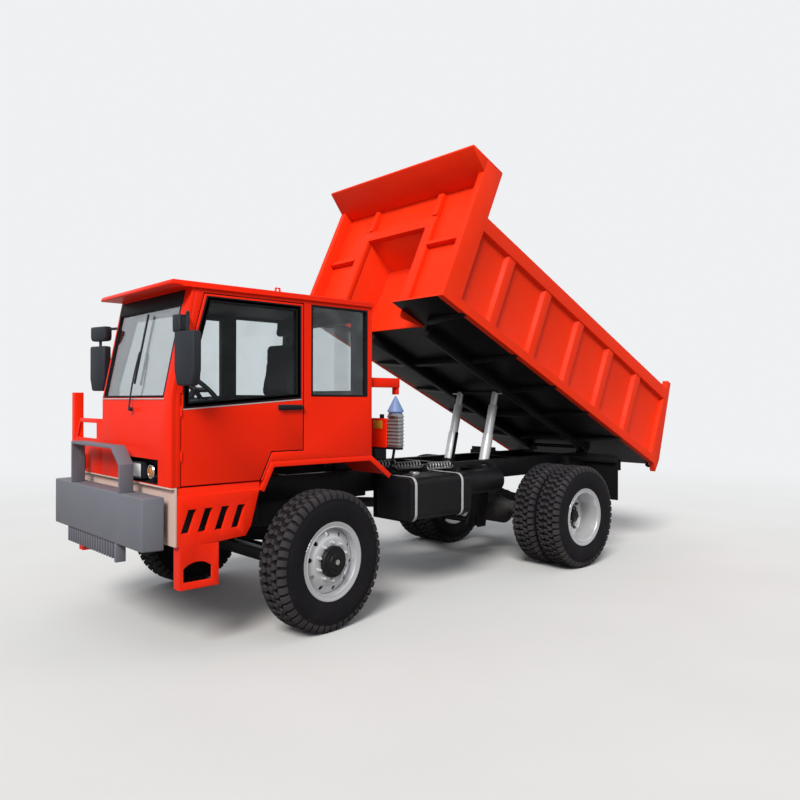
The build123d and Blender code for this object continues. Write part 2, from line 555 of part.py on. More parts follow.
# Mirrors: one housing each side, hung from a tube on the windscreen frame
MIRRORS = ((1125.0, 1085.0, 16.0, 900.0), (1125.0, -440.0, -16.0, -248.0))
MIRROR_ARM_Z = 2300.0
MIRROR_LOW_Z = 1826.0
MIRROR_TOP_Z = 2185.0
with BuildPart() as mirrors:
    for x, y, toe, root_y in MIRRORS:
        normal = (cos(radians(toe)), sin(radians(toe)), 0)
        housing = Plane(origin=(FX + x, y, (MIRROR_LOW_Z + MIRROR_TOP_Z) / 2), x_dir=(normal[1], -normal[0], 0),
                        z_dir=normal)
        with BuildSketch(housing.offset(-34)) as shell:
            RectangleRounded(190, MIRROR_TOP_Z - MIRROR_LOW_Z, 30)
        extrude(shell.sketch, amount=68)
        bar((FX + x, y, MIRROR_TOP_Z - 60), (FX + x, y, MIRROR_ARM_Z + 10), 11)
        bar((FX + x, y, MIRROR_ARM_Z), (FX + 1050, root_y, MIRROR_ARM_Z), 11)
    side_prism(TRUCK_PROFILE, SCREEN_FRAME, CAB_RIGHT_Y, CAB_LEFT_Y, Mode.SUBTRACT)
mirrors.part.label = "mirrors"
export_step(mirrors.part, "parts/mirrors.step")

# Front mudguards: a bent plate over each front wheel with a deep outer lip
GUARD = ((-774, 1119), (-556, CAB_ARCH_Z), (400, CAB_ARCH_Z), (497, 1087))
GUARD_THICK = 10.0
GUARD_LIP = 42.0
GUARD_INNER_Y = 440.0


def guard_band(depth):
    """The mudguard's outline with its underside lowered by depth."""
    tail_run = GUARD[1][0] - GUARD[0][0]
    tail_rise = GUARD[1][1] - GUARD[0][1]
    tail = hypot(tail_run, tail_rise)
    leg_run = GUARD[3][0] - GUARD[2][0]
    leg_rise = GUARD[2][1] - GUARD[3][1]
    leg = hypot(leg_run, leg_rise)
    tail_angle = atan2(tail_rise, tail_run)
    leg_angle = atan2(leg_rise, leg_run)
    underside = (
        (GUARD[3][0] - depth * leg_rise / leg, GUARD[3][1] - depth * leg_run / leg),
        (GUARD[2][0] - depth * (1 - cos(leg_angle)) / sin(leg_angle), CAB_ARCH_Z - depth),
        (GUARD[1][0] + depth * (1 - cos(tail_angle)) / sin(tail_angle), CAB_ARCH_Z - depth),
        (GUARD[0][0] + depth * tail_rise / tail, GUARD[0][1] - depth * tail_run / tail),
    )
    return GUARD + underside


with BuildPart() as front_mudguards:
    for name, sign in SIDES:
        ys = mirrored((GUARD_INNER_Y, CAB_LEFT_Y), sign)
        side_prism(TRUCK_PROFILE, guard_band(GUARD_THICK), *ys)
        ys = mirrored((CAB_LEFT_Y - 14, CAB_LEFT_Y), sign)
        side_prism(TRUCK_PROFILE, guard_band(GUARD_LIP), *ys)
front_mudguards.part.label = "front_mudguards"
export_step(front_mudguards.part, "parts/front_mudguards.step")

# Skirts below the cab with sloping slots, and the step box with its foot hole
SKIRT = ((1131, 750), (830, 755), (612, 772), (570, 838), (505, 1075), (497, 1087), (497, 1145), (1131, 1145))
SKIRT_BAND_Z = (1090.0, 1146.0)
SKIRT_BAND_DEEP = 8.0
SLOT_X = (1105, 983, 856, 730)
SLOT_WIDTH = 61.0
SLOT_LEAN = 56.0
SLOT_Z = (838.0, 995.0)
SKIRT_THICK = 26.0
STEP_X = (824.0, 1113.0)
STEP_Z = (459.0, 752.0)
STEP_DEPTH = 90.0
STEP_WALL = 12.0
for name, sign in SIDES:
    with BuildPart() as side_skirt:
        ys = mirrored((CAB_LEFT_Y - SKIRT_THICK, CAB_LEFT_Y), sign)
        side_prism(TRUCK_PROFILE, SKIRT, *ys)
        for x in SLOT_X:
            slot = ((x, SLOT_Z[0]), (x - SLOT_LEAN, SLOT_Z[1]),
                    (x - SLOT_LEAN - SLOT_WIDTH, SLOT_Z[1]), (x - SLOT_WIDTH, SLOT_Z[0]))
            side_prism(TRUCK_PROFILE, slot, *ys, Mode.SUBTRACT)
        ys = mirrored((CAB_LEFT_Y - SKIRT_BAND_DEEP, CAB_LEFT_Y), sign)
        block((SKIRT[-2][0], FRAME_FRONT), ys, SKIRT_BAND_Z, Mode.SUBTRACT)
        ys = mirrored((CAB_LEFT_Y - STEP_DEPTH, CAB_LEFT_Y), sign)
        block(STEP_X, ys, STEP_Z)
        inner = mirrored((CAB_LEFT_Y - STEP_DEPTH - STEP_WALL, CAB_LEFT_Y - STEP_WALL), sign)
        block((STEP_X[0] + STEP_WALL, STEP_X[1] - STEP_WALL), inner,
              (STEP_Z[0] + STEP_WALL, STEP_Z[1] - STEP_WALL), Mode.SUBTRACT)
        with BuildSketch(TRUCK_PROFILE.offset(-sign * CAB_LEFT_Y)) as foot_hole:
            with BuildLine():
                Line((1085, 600), (1085, 508))
                Line((1085, 508), (878, 508))
                Line((878, 508), (878, 600))
                ThreePointArc((878, 600), (982, 640), (1085, 600))
            make_face()
        extrude(foot_hole.sketch, amount=sign * STEP_WALL, mode=Mode.SUBTRACT)
    side_skirt.part.label = f"side_skirt_{name}"
    export_step(side_skirt.part, f"parts/side_skirt_{name}.step")

# Right-hand hood: a low cover beside the cab, open below, with a post and a frame on its nose
HOOD_RIGHT_Y = -950.0
HOOD_WALL = 20.0
with BuildPart() as right_hood:
    outer = ((CAB_FRONT, CAB_SILL_Z), (CAB_FRONT, HOOD_TOP_Z), (CAB_REAR, HOOD_TOP_Z), (CAB_REAR, CAB_ARCH_Z),
             (400, CAB_ARCH_Z), (497, CAB_SILL_Z))
    side_prism(TRUCK_PROFILE, outer, HOOD_RIGHT_Y, CAB_RIGHT_Y)
    inner = ((CAB_FRONT - HOOD_WALL, 1100), (CAB_FRONT - HOOD_WALL, HOOD_TOP_Z - HOOD_WALL),
             (CAB_REAR + HOOD_WALL, HOOD_TOP_Z - HOOD_WALL), (CAB_REAR + HOOD_WALL, 1100))
    side_prism(TRUCK_PROFILE, inner, HOOD_RIGHT_Y + HOOD_WALL, CAB_RIGHT_Y - HOOD_WALL, Mode.SUBTRACT)
    block((CAB_FRONT - 75, CAB_FRONT), (HOOD_RIGHT_Y, -890), (HOOD_TOP_Z, 1797))
    nose_face = TRUCK_FACE.offset(CAB_FRONT - HOOD_WALL)
    prism(nose_face, ((-873, HOOD_TOP_Z), (-262, HOOD_TOP_Z), (-262, 1585), (-751, 1585)), HOOD_WALL)
    prism(nose_face, ((-832, 1425), (-387, 1425), (-387, 1550), (-751, 1550)), HOOD_WALL, Mode.SUBTRACT)
right_hood.part.label = "right_hood"
export_step(right_hood.part, "parts/right_hood.step")

# Bumper, its backing plate, and the guard hoop with the comb below
BUMPER_X = (1187.0, 1336.0)
BUMPER_HALF_Y = (880.0, 859.0)
BUMPER_Z = (728.0, 1086.0)
with BuildPart() as front_bumper:
    back_y, front_y = BUMPER_HALF_Y
    plan = ((BUMPER_X[0], -back_y), (BUMPER_X[1], -front_y), (BUMPER_X[1], front_y), (BUMPER_X[0], back_y))
    prism(TRUCK_PLAN.offset(BUMPER_Z[0]), plan, BUMPER_Z[1] - BUMPER_Z[0])
front_bumper.part.label = "front_bumper"
export_step(front_bumper.part, "parts/front_bumper.step")

with BuildPart() as bumper_backing:
    plate_front = FRAME_FRONT + 15
    block((FRAME_FRONT, plate_front), (-CAB_LEFT_Y, CAB_LEFT_Y), (752, 1149))
    block((plate_front, CAB_FRONT), (-CAB_LEFT_Y, CAB_LEFT_Y), (1137, 1149))
    for name, sign in SIDES:
        block((plate_front, BUMPER_X[0]), mirrored((300, RAIL_OUTER_Y), sign), (760, 1060))
bumper_backing.part.label = "bumper_backing"
export_step(bumper_backing.part, "parts/bumper_backing.step")

HOOP_X = 1235.0
HOOP_DEPTH = 100.0
HOOP_BAR = 22.0
COMB_Y = (-575.0, 375.0)
COMB_PITCH = 50.0
COMB_BAR = 14.0
with BuildPart() as bumper_guard:
    top = 1410
    outer = ((-487, BUMPER_Z[1]), (-487, top), (335, top), (487, 1285), (487, BUMPER_Z[1]))
    inner = ((-487 + HOOP_BAR, BUMPER_Z[1]), (-487 + HOOP_BAR, top - HOOP_BAR), (327, top - HOOP_BAR),
             (487 - HOOP_BAR, 1275), (487 - HOOP_BAR, BUMPER_Z[1]))
    prism(TRUCK_FACE.offset(HOOP_X), outer, HOOP_DEPTH)
    prism(TRUCK_FACE.offset(HOOP_X), inner, HOOP_DEPTH, Mode.SUBTRACT)
    slats = int((COMB_Y[1] - COMB_Y[0]) / COMB_PITCH) + 1
    for index in range(slats):
        y = COMB_Y[0] + index * COMB_PITCH
        block((1310, 1328), (y, y + COMB_BAR), (612, BUMPER_Z[0]))
    block((1298, 1310), (COMB_Y[0], 420), (700, BUMPER_Z[0]))
    block((1262, 1334), (395, 425), (596, BUMPER_Z[0]))
bumper_guard.part.label = "bumper_guard"
export_step(bumper_guard.part, "parts/bumper_guard.step")

# Lamps: lenses in the recess, their like on the right, and the tail lamps
LAMPS = (
    (268, 449, 1172, 1290),
    (556, 640, 1181, 1285),
    (-800, -620, 1172, 1290),
)
with BuildPart() as lamps:
    for y_low, y_high, z_low, z_high in LAMPS:
        front = 1180 if y_low < 0 else 1164
        block((front - 60 if y_low > 0 else CAB_FRONT, front if y_low > 0 else CAB_FRONT + 24),
              (y_low, y_high), (z_low, z_high))
    for name, sign in SIDES:
        block((FRAME_REAR - 40, FRAME_REAR - 12), mirrored((560, 800), sign), (930, 1020))
lamps.part.label = "lamps"
export_step(lamps.part, "parts/lamps.step")

# Behind the cab: a boxed unit with an air cleaner over it, and a low valve block
with BuildPart() as hydraulic_box:
    block((-915, -850), (430, 800), (1335, 1580))
    block((-915, -850), (355, 945), (1315, 1335))
    block((-915, -885), (355, 415), (RAIL_TOP_Z, 1315))
    block((-1290, -640), (180, 300), (RAIL_TOP_Z, 1290))
    block((-1290, -640), (300, 360), (RAIL_TOP_Z, 1180))
hydraulic_box.part.label = "hydraulic_box"
export_step(hydraulic_box.part, "parts/hydraulic_box.step")

CLEANER_X = -887.0
CLEANER_Y = 875.0
with BuildPart() as air_cleaner:
    origin = (FX + CLEANER_X, CLEANER_Y, 0)
    stack = ((0, 1600), (58, 1600), (58, 1634), (70, 1634), (70, 1646), (6, 1773), (0, 1773))
    cleaner_plane = Plane(origin=origin, x_dir=(1, 0, 0), z_dir=(0, -1, 0))
    turned(cleaner_plane, stack, Axis(origin, (0, 0, 1)))
    block((-915, -860), (805, 945), (1335, 1620))
air_cleaner.part.label = "air_cleaner"
export_step(air_cleaner.part, "parts/air_cleaner.step")

# Fuel tank with its straps on the left, air tanks behind it, battery box on the right
TANK_X = (-1770.0, -1000.0)
TANK_Y = (500.0, 950.0)
TANK_Z = (690.0, 1060.0)
TANK_ROUND = 60.0
STRAPS = (-1055.0, -1640.0)
STRAP_WIDTH = 45.0
with BuildPart() as fuel_tank:
    centre = ((TANK_Y[0] + TANK_Y[1]) / 2, (TANK_Z[0] + TANK_Z[1]) / 2)
    size = (TANK_Y[1] - TANK_Y[0], TANK_Z[1] - TANK_Z[0])
    with BuildSketch(TRUCK_FACE.offset(TANK_X[0])) as section:
        with Locations(centre):
            RectangleRounded(size[0], size[1], TANK_ROUND)
    extrude(section.sketch, amount=TANK_X[1] - TANK_X[0])
    for x in STRAPS:
        with BuildSketch(TRUCK_FACE.offset(x - STRAP_WIDTH / 2)) as band:
            with Locations(centre):
                RectangleRounded(size[0] + 12, size[1] + 12, TANK_ROUND + 6)
        extrude(band.sketch, amount=STRAP_WIDTH)
        block((x - 30, x + 30), (RAIL_OUTER_Y, TANK_Y[0]), (930, 1090))
        block((x - 30, x + 30), (RAIL_OUTER_Y, 900), (672, 692))
        block((x - 30, x + 30), (RAIL_OUTER_Y, 440), (672, 1000))
fuel_tank.part.label = "fuel_tank"
export_step(fuel_tank.part, "parts/fuel_tank.step")

with BuildPart() as air_tanks:
    for y, sign in ((640, 1), (-640, -1)):
        bar((FX - 2480, y, 930), (FX - 1870, y, 930), 120)
        for x in (-2380, -1970):
            block((x - 25, x + 25), mirrored((RAIL_OUTER_Y, 600), sign), (990, 1080))
air_tanks.part.label = "air_tanks"
export_step(air_tanks.part, "parts/air_tanks.step")

with BuildPart() as battery_box:
    block((-1700, -1000), (-900, -500), (720, 1060))
    for x in (-1600, -1100):
        block((x - 30, x + 30), (-500, -RAIL_OUTER_Y), (930, 1090))
battery_box.part.label = "battery_box"
export_step(battery_box.part, "parts/battery_box.step")

# Mudflaps behind the rear wheels, each on an arm from the rail
with BuildPart() as mudflaps:
    for name, sign in SIDES:
        block((-4056, -4046), mirrored((690, 1100), sign), (620, 1130))
        block((-4046, -4006), mirrored((RAIL_OUTER_Y, 1090), sign), (1040, 1090))
mudflaps.part.label = "mudflaps"
export_step(mudflaps.part, "parts/mudflaps.step")

# Hoist: barrels that swing on a base shaft, and three stages that slide out of them
BARREL_LENGTH = 636.0
STAGE_ONE_TOP = HOIST_LENGTH - 148 - 319
STAGE_TWO_TOP = HOIST_LENGTH - 148
STAGE_LENGTH = 600.0
BARREL_RADIUS = 72.0
STAGE_RADII = (56.0, 48.0, 36.0)
RUNNING_GAP = 0.5


def along(distance, y):
    """A point on a cylinder's axis, at a distance from its base pin."""
    point = BASE + HOIST_UP * distance
    return (point.X, y, point.Z)


with BuildPart() as hoist_barrels:
    for name, sign in SIDES:
        y = sign * HOIST_Y
        bar(along(-40, y), along(BARREL_LENGTH, y), BARREL_RADIUS)
        bar(along(30, y), along(BARREL_LENGTH, y), STAGE_RADII[0] + RUNNING_GAP, Mode.SUBTRACT)
    bar((BASE.X, -335, BASE.Z), (BASE.X, 335, BASE.Z), 30)
hoist_barrels.part.label = "hoist_barrels"
export_step(hoist_barrels.part, "parts/hoist_barrels.step")

STAGES = (
    ("hoist_stage_one", STAGE_ONE_TOP, STAGE_RADII[0], STAGE_RADII[1]),
    ("hoist_stage_two", STAGE_TWO_TOP, STAGE_RADII[1], STAGE_RADII[2]),
)
for label, top, radius, inner_radius in STAGES:
    with BuildPart() as stage:
        for name, sign in SIDES:
            y = sign * HOIST_Y
            bar(along(top - STAGE_LENGTH, y), along(top, y), radius)
            bar(along(top - STAGE_LENGTH, y), along(top, y), inner_radius + RUNNING_GAP, Mode.SUBTRACT)
    stage.part.label = label
    export_step(stage.part, f"parts/{label}.step")

TOP_SHAFT_RADIUS = 22.0
with BuildPart() as hoist_stage_three:
    for name, sign in SIDES:
        y = sign * HOIST_Y
        bar(along(HOIST_LENGTH - 500, y), along(HOIST_LENGTH, y), STAGE_RADII[2])
    bar((TOP.X, -BEAM_Y[0] + 8, TOP.Z), (TOP.X, BEAM_Y[0] - 8, TOP.Z), TOP_SHAFT_RADIUS)
hoist_stage_three.part.label = "hoist_stage_three"
export_step(hoist_stage_three.part, "parts/hoist_stage_three.step")

# Bed floor, notched at the front for the pocket
POCKET_Y = (-478.0, 392.0)
POCKET_TOP = 3835.0
POCKET_KNEE = (-541.0, 3711.0)
POCKET_FOOT_U = -503.0
POCKET_KEEL_W = 2868.0
POCKET_WALL = 10.0
FLOOR_REAR_U = -4080.0
FLOOR_TOP_W = FLOOR_W + FLOOR_THICK
with BuildPart() as bed_floor:
    plan = (
        (FLOOR_REAR_U, -BED_INNER_Y), (BED_FRONT_U, -BED_INNER_Y), (BED_FRONT_U, POCKET_Y[0] - POCKET_WALL),
        (POCKET_FOOT_U - POCKET_WALL - 1, POCKET_Y[0] - POCKET_WALL),
        (POCKET_FOOT_U - POCKET_WALL - 1, POCKET_Y[1] + POCKET_WALL),
        (BED_FRONT_U, POCKET_Y[1] + POCKET_WALL), (BED_FRONT_U, BED_INNER_Y), (FLOOR_REAR_U, BED_INNER_Y),
    )
    prism(BED_PLAN.offset(FLOOR_W), plan, FLOOR_THICK)
bed_floor.part.label = "bed_floor"
export_step(bed_floor.part, "parts/bed_floor.step")

# Bed sides: a panel each side with posts, sill, top rail and five hat ribs
RIB_U = (-745, -1383, -2020, -2660, -3300)
RIB_BASE = 150.0
RIB_CROWN = 104.0
RIB_OUT_Y = 1060.0
TAIL_TIP = ((-4146, 3020), (-4120, 2860), (-4050, FLOOR_W))
GATE_PIVOT = (-3982.0, 3945.0)
GATE_PIN_RADIUS = 15.0
for name, sign in SIDES:
    with BuildPart() as bed_side:
        panel_y = BED_INNER_Y + BED_PANEL
        panel = (
            (BED_FRONT_U, FLOOR_W), (BED_FRONT_U, POST_TOP_W), (POST_REAR_U, POST_TOP_W),
            (POST_REAR_U, TOP_RAIL_W[1]), (REAR_POST_U, TOP_RAIL_W[1]), (REAR_POST_U, 3990), (-4015, 3990),
        ) + TAIL_TIP
        side_prism(BED_PROFILE, panel, *mirrored((BED_INNER_Y, panel_y), sign))
        outer = mirrored((panel_y, BED_OUTER_Y), sign)
        bed_block((POST_REAR_U, BED_FRONT_U), outer, (FLOOR_W, POST_TOP_W))
        bed_block((REAR_POST_U, POST_REAR_U), outer, (FLOOR_W, SILL_TOP_W))
        bed_block((REAR_POST_U, POST_REAR_U), outer, TOP_RAIL_W)
        rear_post = ((REAR_POST_U, FLOOR_W), (REAR_POST_U, 3990), (-4015, 3990)) + TAIL_TIP
        side_prism(BED_PROFILE, rear_post, *outer)
        for u in RIB_U:
            hat = ((u - RIB_BASE / 2, sign * panel_y), (u + RIB_BASE / 2, sign * panel_y),
                   (u + RIB_CROWN / 2, sign * RIB_OUT_Y), (u - RIB_CROWN / 2, sign * RIB_OUT_Y))
            prism(BED_PLAN.offset(SILL_TOP_W), hat, TOP_RAIL_W[0] - SILL_TOP_W)
        pivot = BED_PLAN.from_local_coords((GATE_PIVOT[0], 0, GATE_PIVOT[1]))
        bar((pivot.X, sign * 925, pivot.Z), (pivot.X, sign * (BED_INNER_Y + 5), pivot.Z), GATE_PIN_RADIUS)
    bed_side.part.label = f"bed_side_{name}"
    export_step(bed_side.part, f"parts/bed_side_{name}.step")

# Front wall with its pocket opening, flange and ribs
WALL_FRONT_U = -165.0
WALL_THICK = 20.0
WALL_BACK_U = WALL_FRONT_U - WALL_THICK
WALL_TOP_W = 4232.0
FLANGE_WIDTH = 120.0
FLANGE_OUT = 45.0
RIB_OUT = 60.0
WALL_RIBS = (
    (-510, -455, 3940, 4200), (440, 515, 3940, 4200),
    (-998, -590, 3600, 3640), (505, 998, 3600, 3640),
)
with BuildPart() as bed_front_wall:
    face = BED_FACE.offset(WALL_BACK_U)
    wall = ((-BED_INNER_Y, FLOOR_TOP_W), (BED_INNER_Y, FLOOR_TOP_W), (BED_INNER_Y, WALL_TOP_W),
            (-BED_INNER_Y, WALL_TOP_W))
    prism(face, wall, WALL_THICK)
    flange = (
        (POCKET_Y[0] - FLANGE_WIDTH, FLOOR_TOP_W), (POCKET_Y[1] + FLANGE_WIDTH, FLOOR_TOP_W),
        (POCKET_Y[1] + FLANGE_WIDTH, POCKET_TOP + FLANGE_WIDTH), (POCKET_Y[0] - FLANGE_WIDTH, POCKET_TOP + FLANGE_WIDTH),
    )
    prism(face, flange, WALL_THICK + FLANGE_OUT)
    hole = ((POCKET_Y[0], FLOOR_W), (POCKET_Y[1], FLOOR_W), (POCKET_Y[1], POCKET_TOP), (POCKET_Y[0], POCKET_TOP))
    prism(face, hole, WALL_THICK + FLANGE_OUT, Mode.SUBTRACT)
    for y_low, y_high, w_low, w_high in WALL_RIBS:
        rib = ((y_low, w_low), (y_high, w_low), (y_high, w_high), (y_low, w_high))
        prism(face, rib, WALL_THICK + RIB_OUT)
bed_front_wall.part.label = "bed_front_wall"
export_step(bed_front_wall.part, "parts/bed_front_wall.step")

# Pocket: the recess in the bed's front, its ceiling and back wall sloping
with BuildPart() as bed_pocket:
    outer = (
        (WALL_BACK_U, FLOOR_W), (WALL_BACK_U, POCKET_TOP + POCKET_WALL),
        (POCKET_KNEE[0] - POCKET_WALL, POCKET_KNEE[1] + POCKET_WALL), (POCKET_FOOT_U - POCKET_WALL, FLOOR_W),
    )
    side_prism(BED_PROFILE, outer, POCKET_Y[0] - POCKET_WALL, POCKET_Y[1] + POCKET_WALL)
    inner = ((WALL_BACK_U + 5, FLOOR_W - 5), (WALL_BACK_U + 5, POCKET_TOP), (WALL_BACK_U, POCKET_TOP), POCKET_KNEE,
             (POCKET_FOOT_U, FLOOR_W), (POCKET_FOOT_U, FLOOR_W - 5))
    side_prism(BED_PROFILE, inner, *POCKET_Y, Mode.SUBTRACT)
    keel = ((WALL_BACK_U, FLOOR_W + 2), (WALL_BACK_U, POCKET_KEEL_W + 12), (WALL_BACK_U - 30, POCKET_KEEL_W),
            (POCKET_FOOT_U - POCKET_WALL, FLOOR_W - 14), (POCKET_FOOT_U - POCKET_WALL, FLOOR_W + 2))
    for edge in (POCKET_Y[0] - POCKET_WALL, POCKET_Y[1]):
        side_prism(BED_PROFILE, keel, edge, edge + POCKET_WALL)
bed_pocket.part.label = "bed_pocket"
export_step(bed_pocket.part, "parts/bed_pocket.step")

# Canopy over the cab: a folded plate with a closed nose
CANOPY_LOW_W = 4252.0
with BuildPart() as bed_canopy:
    nose = (
        (POST_REAR_U, 4400), (180, 4390), (180, 4370), (BED_FRONT_U, CANOPY_LOW_W), (WALL_FRONT_U, WALL_TOP_W), (WALL_BACK_U, WALL_TOP_W),
        (WALL_BACK_U, POST_TOP_W), (POST_REAR_U, POST_TOP_W),
    )
    side_prism(BED_PROFILE, nose, -BED_INNER_Y, BED_INNER_Y)
    for name, sign in SIDES:
        cheek = ((POST_REAR_U, 4400), (180, 4390), (180, 4370), (BED_FRONT_U, CANOPY_LOW_W),
                 (BED_FRONT_U, POST_TOP_W), (POST_REAR_U, POST_TOP_W))
        side_prism(BED_PROFILE, cheek, *mirrored((BED_INNER_Y, BED_OUTER_Y), sign))
bed_canopy.part.label = "bed_canopy"
export_step(bed_canopy.part, "parts/bed_canopy.step")

# Beams under the floor, with cross members between them and outriggers to the sills
BEAM_FRONT_U = -545.0
CROSS_U = (-1200, -2550, -3260)
OUTRIGGER_U = (-380, -1200, -1900, -2550, -3260)
CROSS_LOW_W = 2880.0
with BuildPart() as bed_beams:
    for name, sign in SIDES:
        ys = mirrored(BEAM_Y, sign)
        end_radius = HINGE_W - BEAM_LOW_W
        arc_half = end_radius * sin(radians(45))
        with BuildSketch(BED_PROFILE.offset(-ys[1])) as beam:
            with BuildLine():
                ThreePointArc((HINGE_U - end_radius, HINGE_W), (HINGE_U - arc_half, HINGE_W - arc_half),
                              (HINGE_U, BEAM_LOW_W))
                Polyline((HINGE_U, BEAM_LOW_W), (BEAM_FRONT_U, BEAM_LOW_W), (BEAM_FRONT_U, FLOOR_W),
                         (HINGE_U - end_radius, FLOOR_W), (HINGE_U - end_radius, HINGE_W))
            make_face()
        extrude(beam.sketch, amount=ys[1] - ys[0])
        for u in OUTRIGGER_U:
            start = BEAM_Y[1] if u < BEAM_FRONT_U else 600
            taper = ((sign * start, CROSS_LOW_W), (sign * start, FLOOR_W), (sign * 1050, FLOOR_W), (sign * 990, FLOOR_W - 14))
            prism(BED_FACE.offset(u - 30), taper, 60)
        bar((HINGE.X, ys[0], HINGE.Z), (HINGE.X, ys[1], HINGE.Z), HINGE_PIN_RADIUS + 0.06, Mode.SUBTRACT)
    for u in CROSS_U:
        bed_block((u - 30, u + 30), (-BEAM_Y[0], BEAM_Y[0]), (CROSS_LOW_W, FLOOR_W))
bed_beams.part.label = "bed_beams"
export_step(bed_beams.part, "parts/bed_beams.step")

# Tailgate: a panel with ribs that hangs from two pins at its top
GATE_HALF = 990.0
GATE_PANEL = ((-3990, 3880), (-3956, 3880), (-4092, 2955), (-4132, 2955))
with BuildPart() as tailgate:
    side_prism(BED_PROFILE, GATE_PANEL, -GATE_HALF, GATE_HALF)
    for name, sign in SIDES:
        ys = mirrored((940, 960), sign)
        strap = ((-3990, 3860), (-3956, 3860), (GATE_PIVOT[0] + 26, GATE_PIVOT[1]), (GATE_PIVOT[0] - 26, GATE_PIVOT[1]))
        side_prism(BED_PROFILE, strap, *ys)
        pivot = BED_PLAN.from_local_coords((GATE_PIVOT[0], 0, GATE_PIVOT[1]))
        bar((pivot.X, ys[0], pivot.Z), (pivot.X, ys[1], pivot.Z), 26)
        bar((pivot.X, ys[0], pivot.Z), (pivot.X, ys[1], pivot.Z), GATE_PIN_RADIUS + 0.06, Mode.SUBTRACT)
tailgate.part.label = "tailgate"
export_step(tailgate.part, "parts/tailgate.step")
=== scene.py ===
"""Dresses a small two-axle dump truck with its bed raised: paint, rubber, glass and fittings.

Metres, +X forward, +Y to the truck's left, +Z up, the ground at Z = 0. Places are given from the
front axle, and the bed's in the bed's own frame: u forward, y left, w square to its floor.
"""

import logging
import math
from dataclasses import dataclass, field
from enum import Enum
from functools import lru_cache
from typing import Callable, Optional, Sequence, Union

import bmesh
import bpy
from mathutils import Matrix, Vector


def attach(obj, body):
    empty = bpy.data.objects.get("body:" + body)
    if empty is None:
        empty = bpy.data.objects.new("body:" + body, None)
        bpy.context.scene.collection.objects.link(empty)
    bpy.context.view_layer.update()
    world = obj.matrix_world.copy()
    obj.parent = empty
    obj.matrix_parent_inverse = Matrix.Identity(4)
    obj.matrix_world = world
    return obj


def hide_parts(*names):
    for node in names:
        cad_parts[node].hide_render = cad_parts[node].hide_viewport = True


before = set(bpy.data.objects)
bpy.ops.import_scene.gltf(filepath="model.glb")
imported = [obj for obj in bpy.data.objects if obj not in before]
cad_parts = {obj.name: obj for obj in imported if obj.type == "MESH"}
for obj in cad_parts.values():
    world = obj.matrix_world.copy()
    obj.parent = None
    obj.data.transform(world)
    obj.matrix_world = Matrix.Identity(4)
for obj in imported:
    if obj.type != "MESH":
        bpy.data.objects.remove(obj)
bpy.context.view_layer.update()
LOG = logging.getLogger("dump_truck")

Point = Sequence[float]
Number = Union[float, "Value"]

FRONT_AXLE_X = 1.988
WHEELBASE = 3.25
AXLE_Z = 0.5275
BED_TILT = math.radians(24.6)
ORIGIN = Matrix.Identity(4)
TRUCK = Matrix.Translation((FRONT_AXLE_X, 0, 0))
BED = TRUCK @ Matrix.Rotation(-BED_TILT, 4, "Y")
DUST = (0.30, 0.25, 0.20)
WAVE_SCALE, WAVE_HEIGHT = 1.3, 0.0035
MERGE = 0.00001
FLAT_DEGREES = 0.6
SOFT_DEGREES = 32.0
NODE_DEGREES = 35.0


class Feel(Enum):
    """How a finish feels close up: its relief's scale, its detail and its height in metres."""

    SPRAYED = (110.0, 1.0, 0.00008)
    CAST = (70.0, 4.0, 0.0007)
    RUBBER = (240.0, 3.0, 0.00025)
    MOULDED = (420.0, 2.0, 0.00012)
    WOVEN = (900.0, 0.0, 0.00016)
    POLISHED = (9.0, 1.0, 0.00006)
    BRUSHED = (1.0, 2.0, 0.00006)


class Value:
    """A socket of a material, on which Python's operators add Math nodes."""

    def __init__(self, recipe: "Recipe", socket: Optional[bpy.types.NodeSocket]) -> None:
        """Wrap an output socket of the recipe's tree, or None for a node that has none."""
        self.recipe = recipe
        self.socket = socket

    def _math(self, operation: str, *operands: Number) -> "Value":
        """Add a Math node for the operation on the operands."""
        return self.recipe.add("ShaderNodeMath", {"operation": operation}, dict(enumerate(operands)))

    def __add__(self, other: Number) -> "Value":
        """Sum."""
        return self._math("ADD", self, other)

    __radd__ = __add__

    def __sub__(self, other: Number) -> "Value":
        """Difference."""
        return self._math("SUBTRACT", self, other)

    def __rsub__(self, other: Number) -> "Value":
        """Difference, reflected."""
        return self._math("SUBTRACT", other, self)

    def __mul__(self, other: Number) -> "Value":
        """Product."""
        return self._math("MULTIPLY", self, other)

    __rmul__ = __mul__

    def larger(self, other: Number) -> "Value":
        """The larger of two values."""
        return self._math("MAXIMUM", self, other)

    def sine(self) -> "Value":
        """Sine of the value."""
        return self._math("SINE", self)

    def power(self, exponent: Number) -> "Value":
        """The value to a power."""
        return self._math("POWER", self, exponent)

    def rise(self, low: float, high: float) -> "Value":
        """A smooth step from 0 at low to 1 at high."""
        settings = {"interpolation_type": "SMOOTHSTEP"}
        return self.recipe.add("ShaderNodeMapRange", settings, {0: self, 1: low, 2: high, 3: 0.0, 4: 1.0})


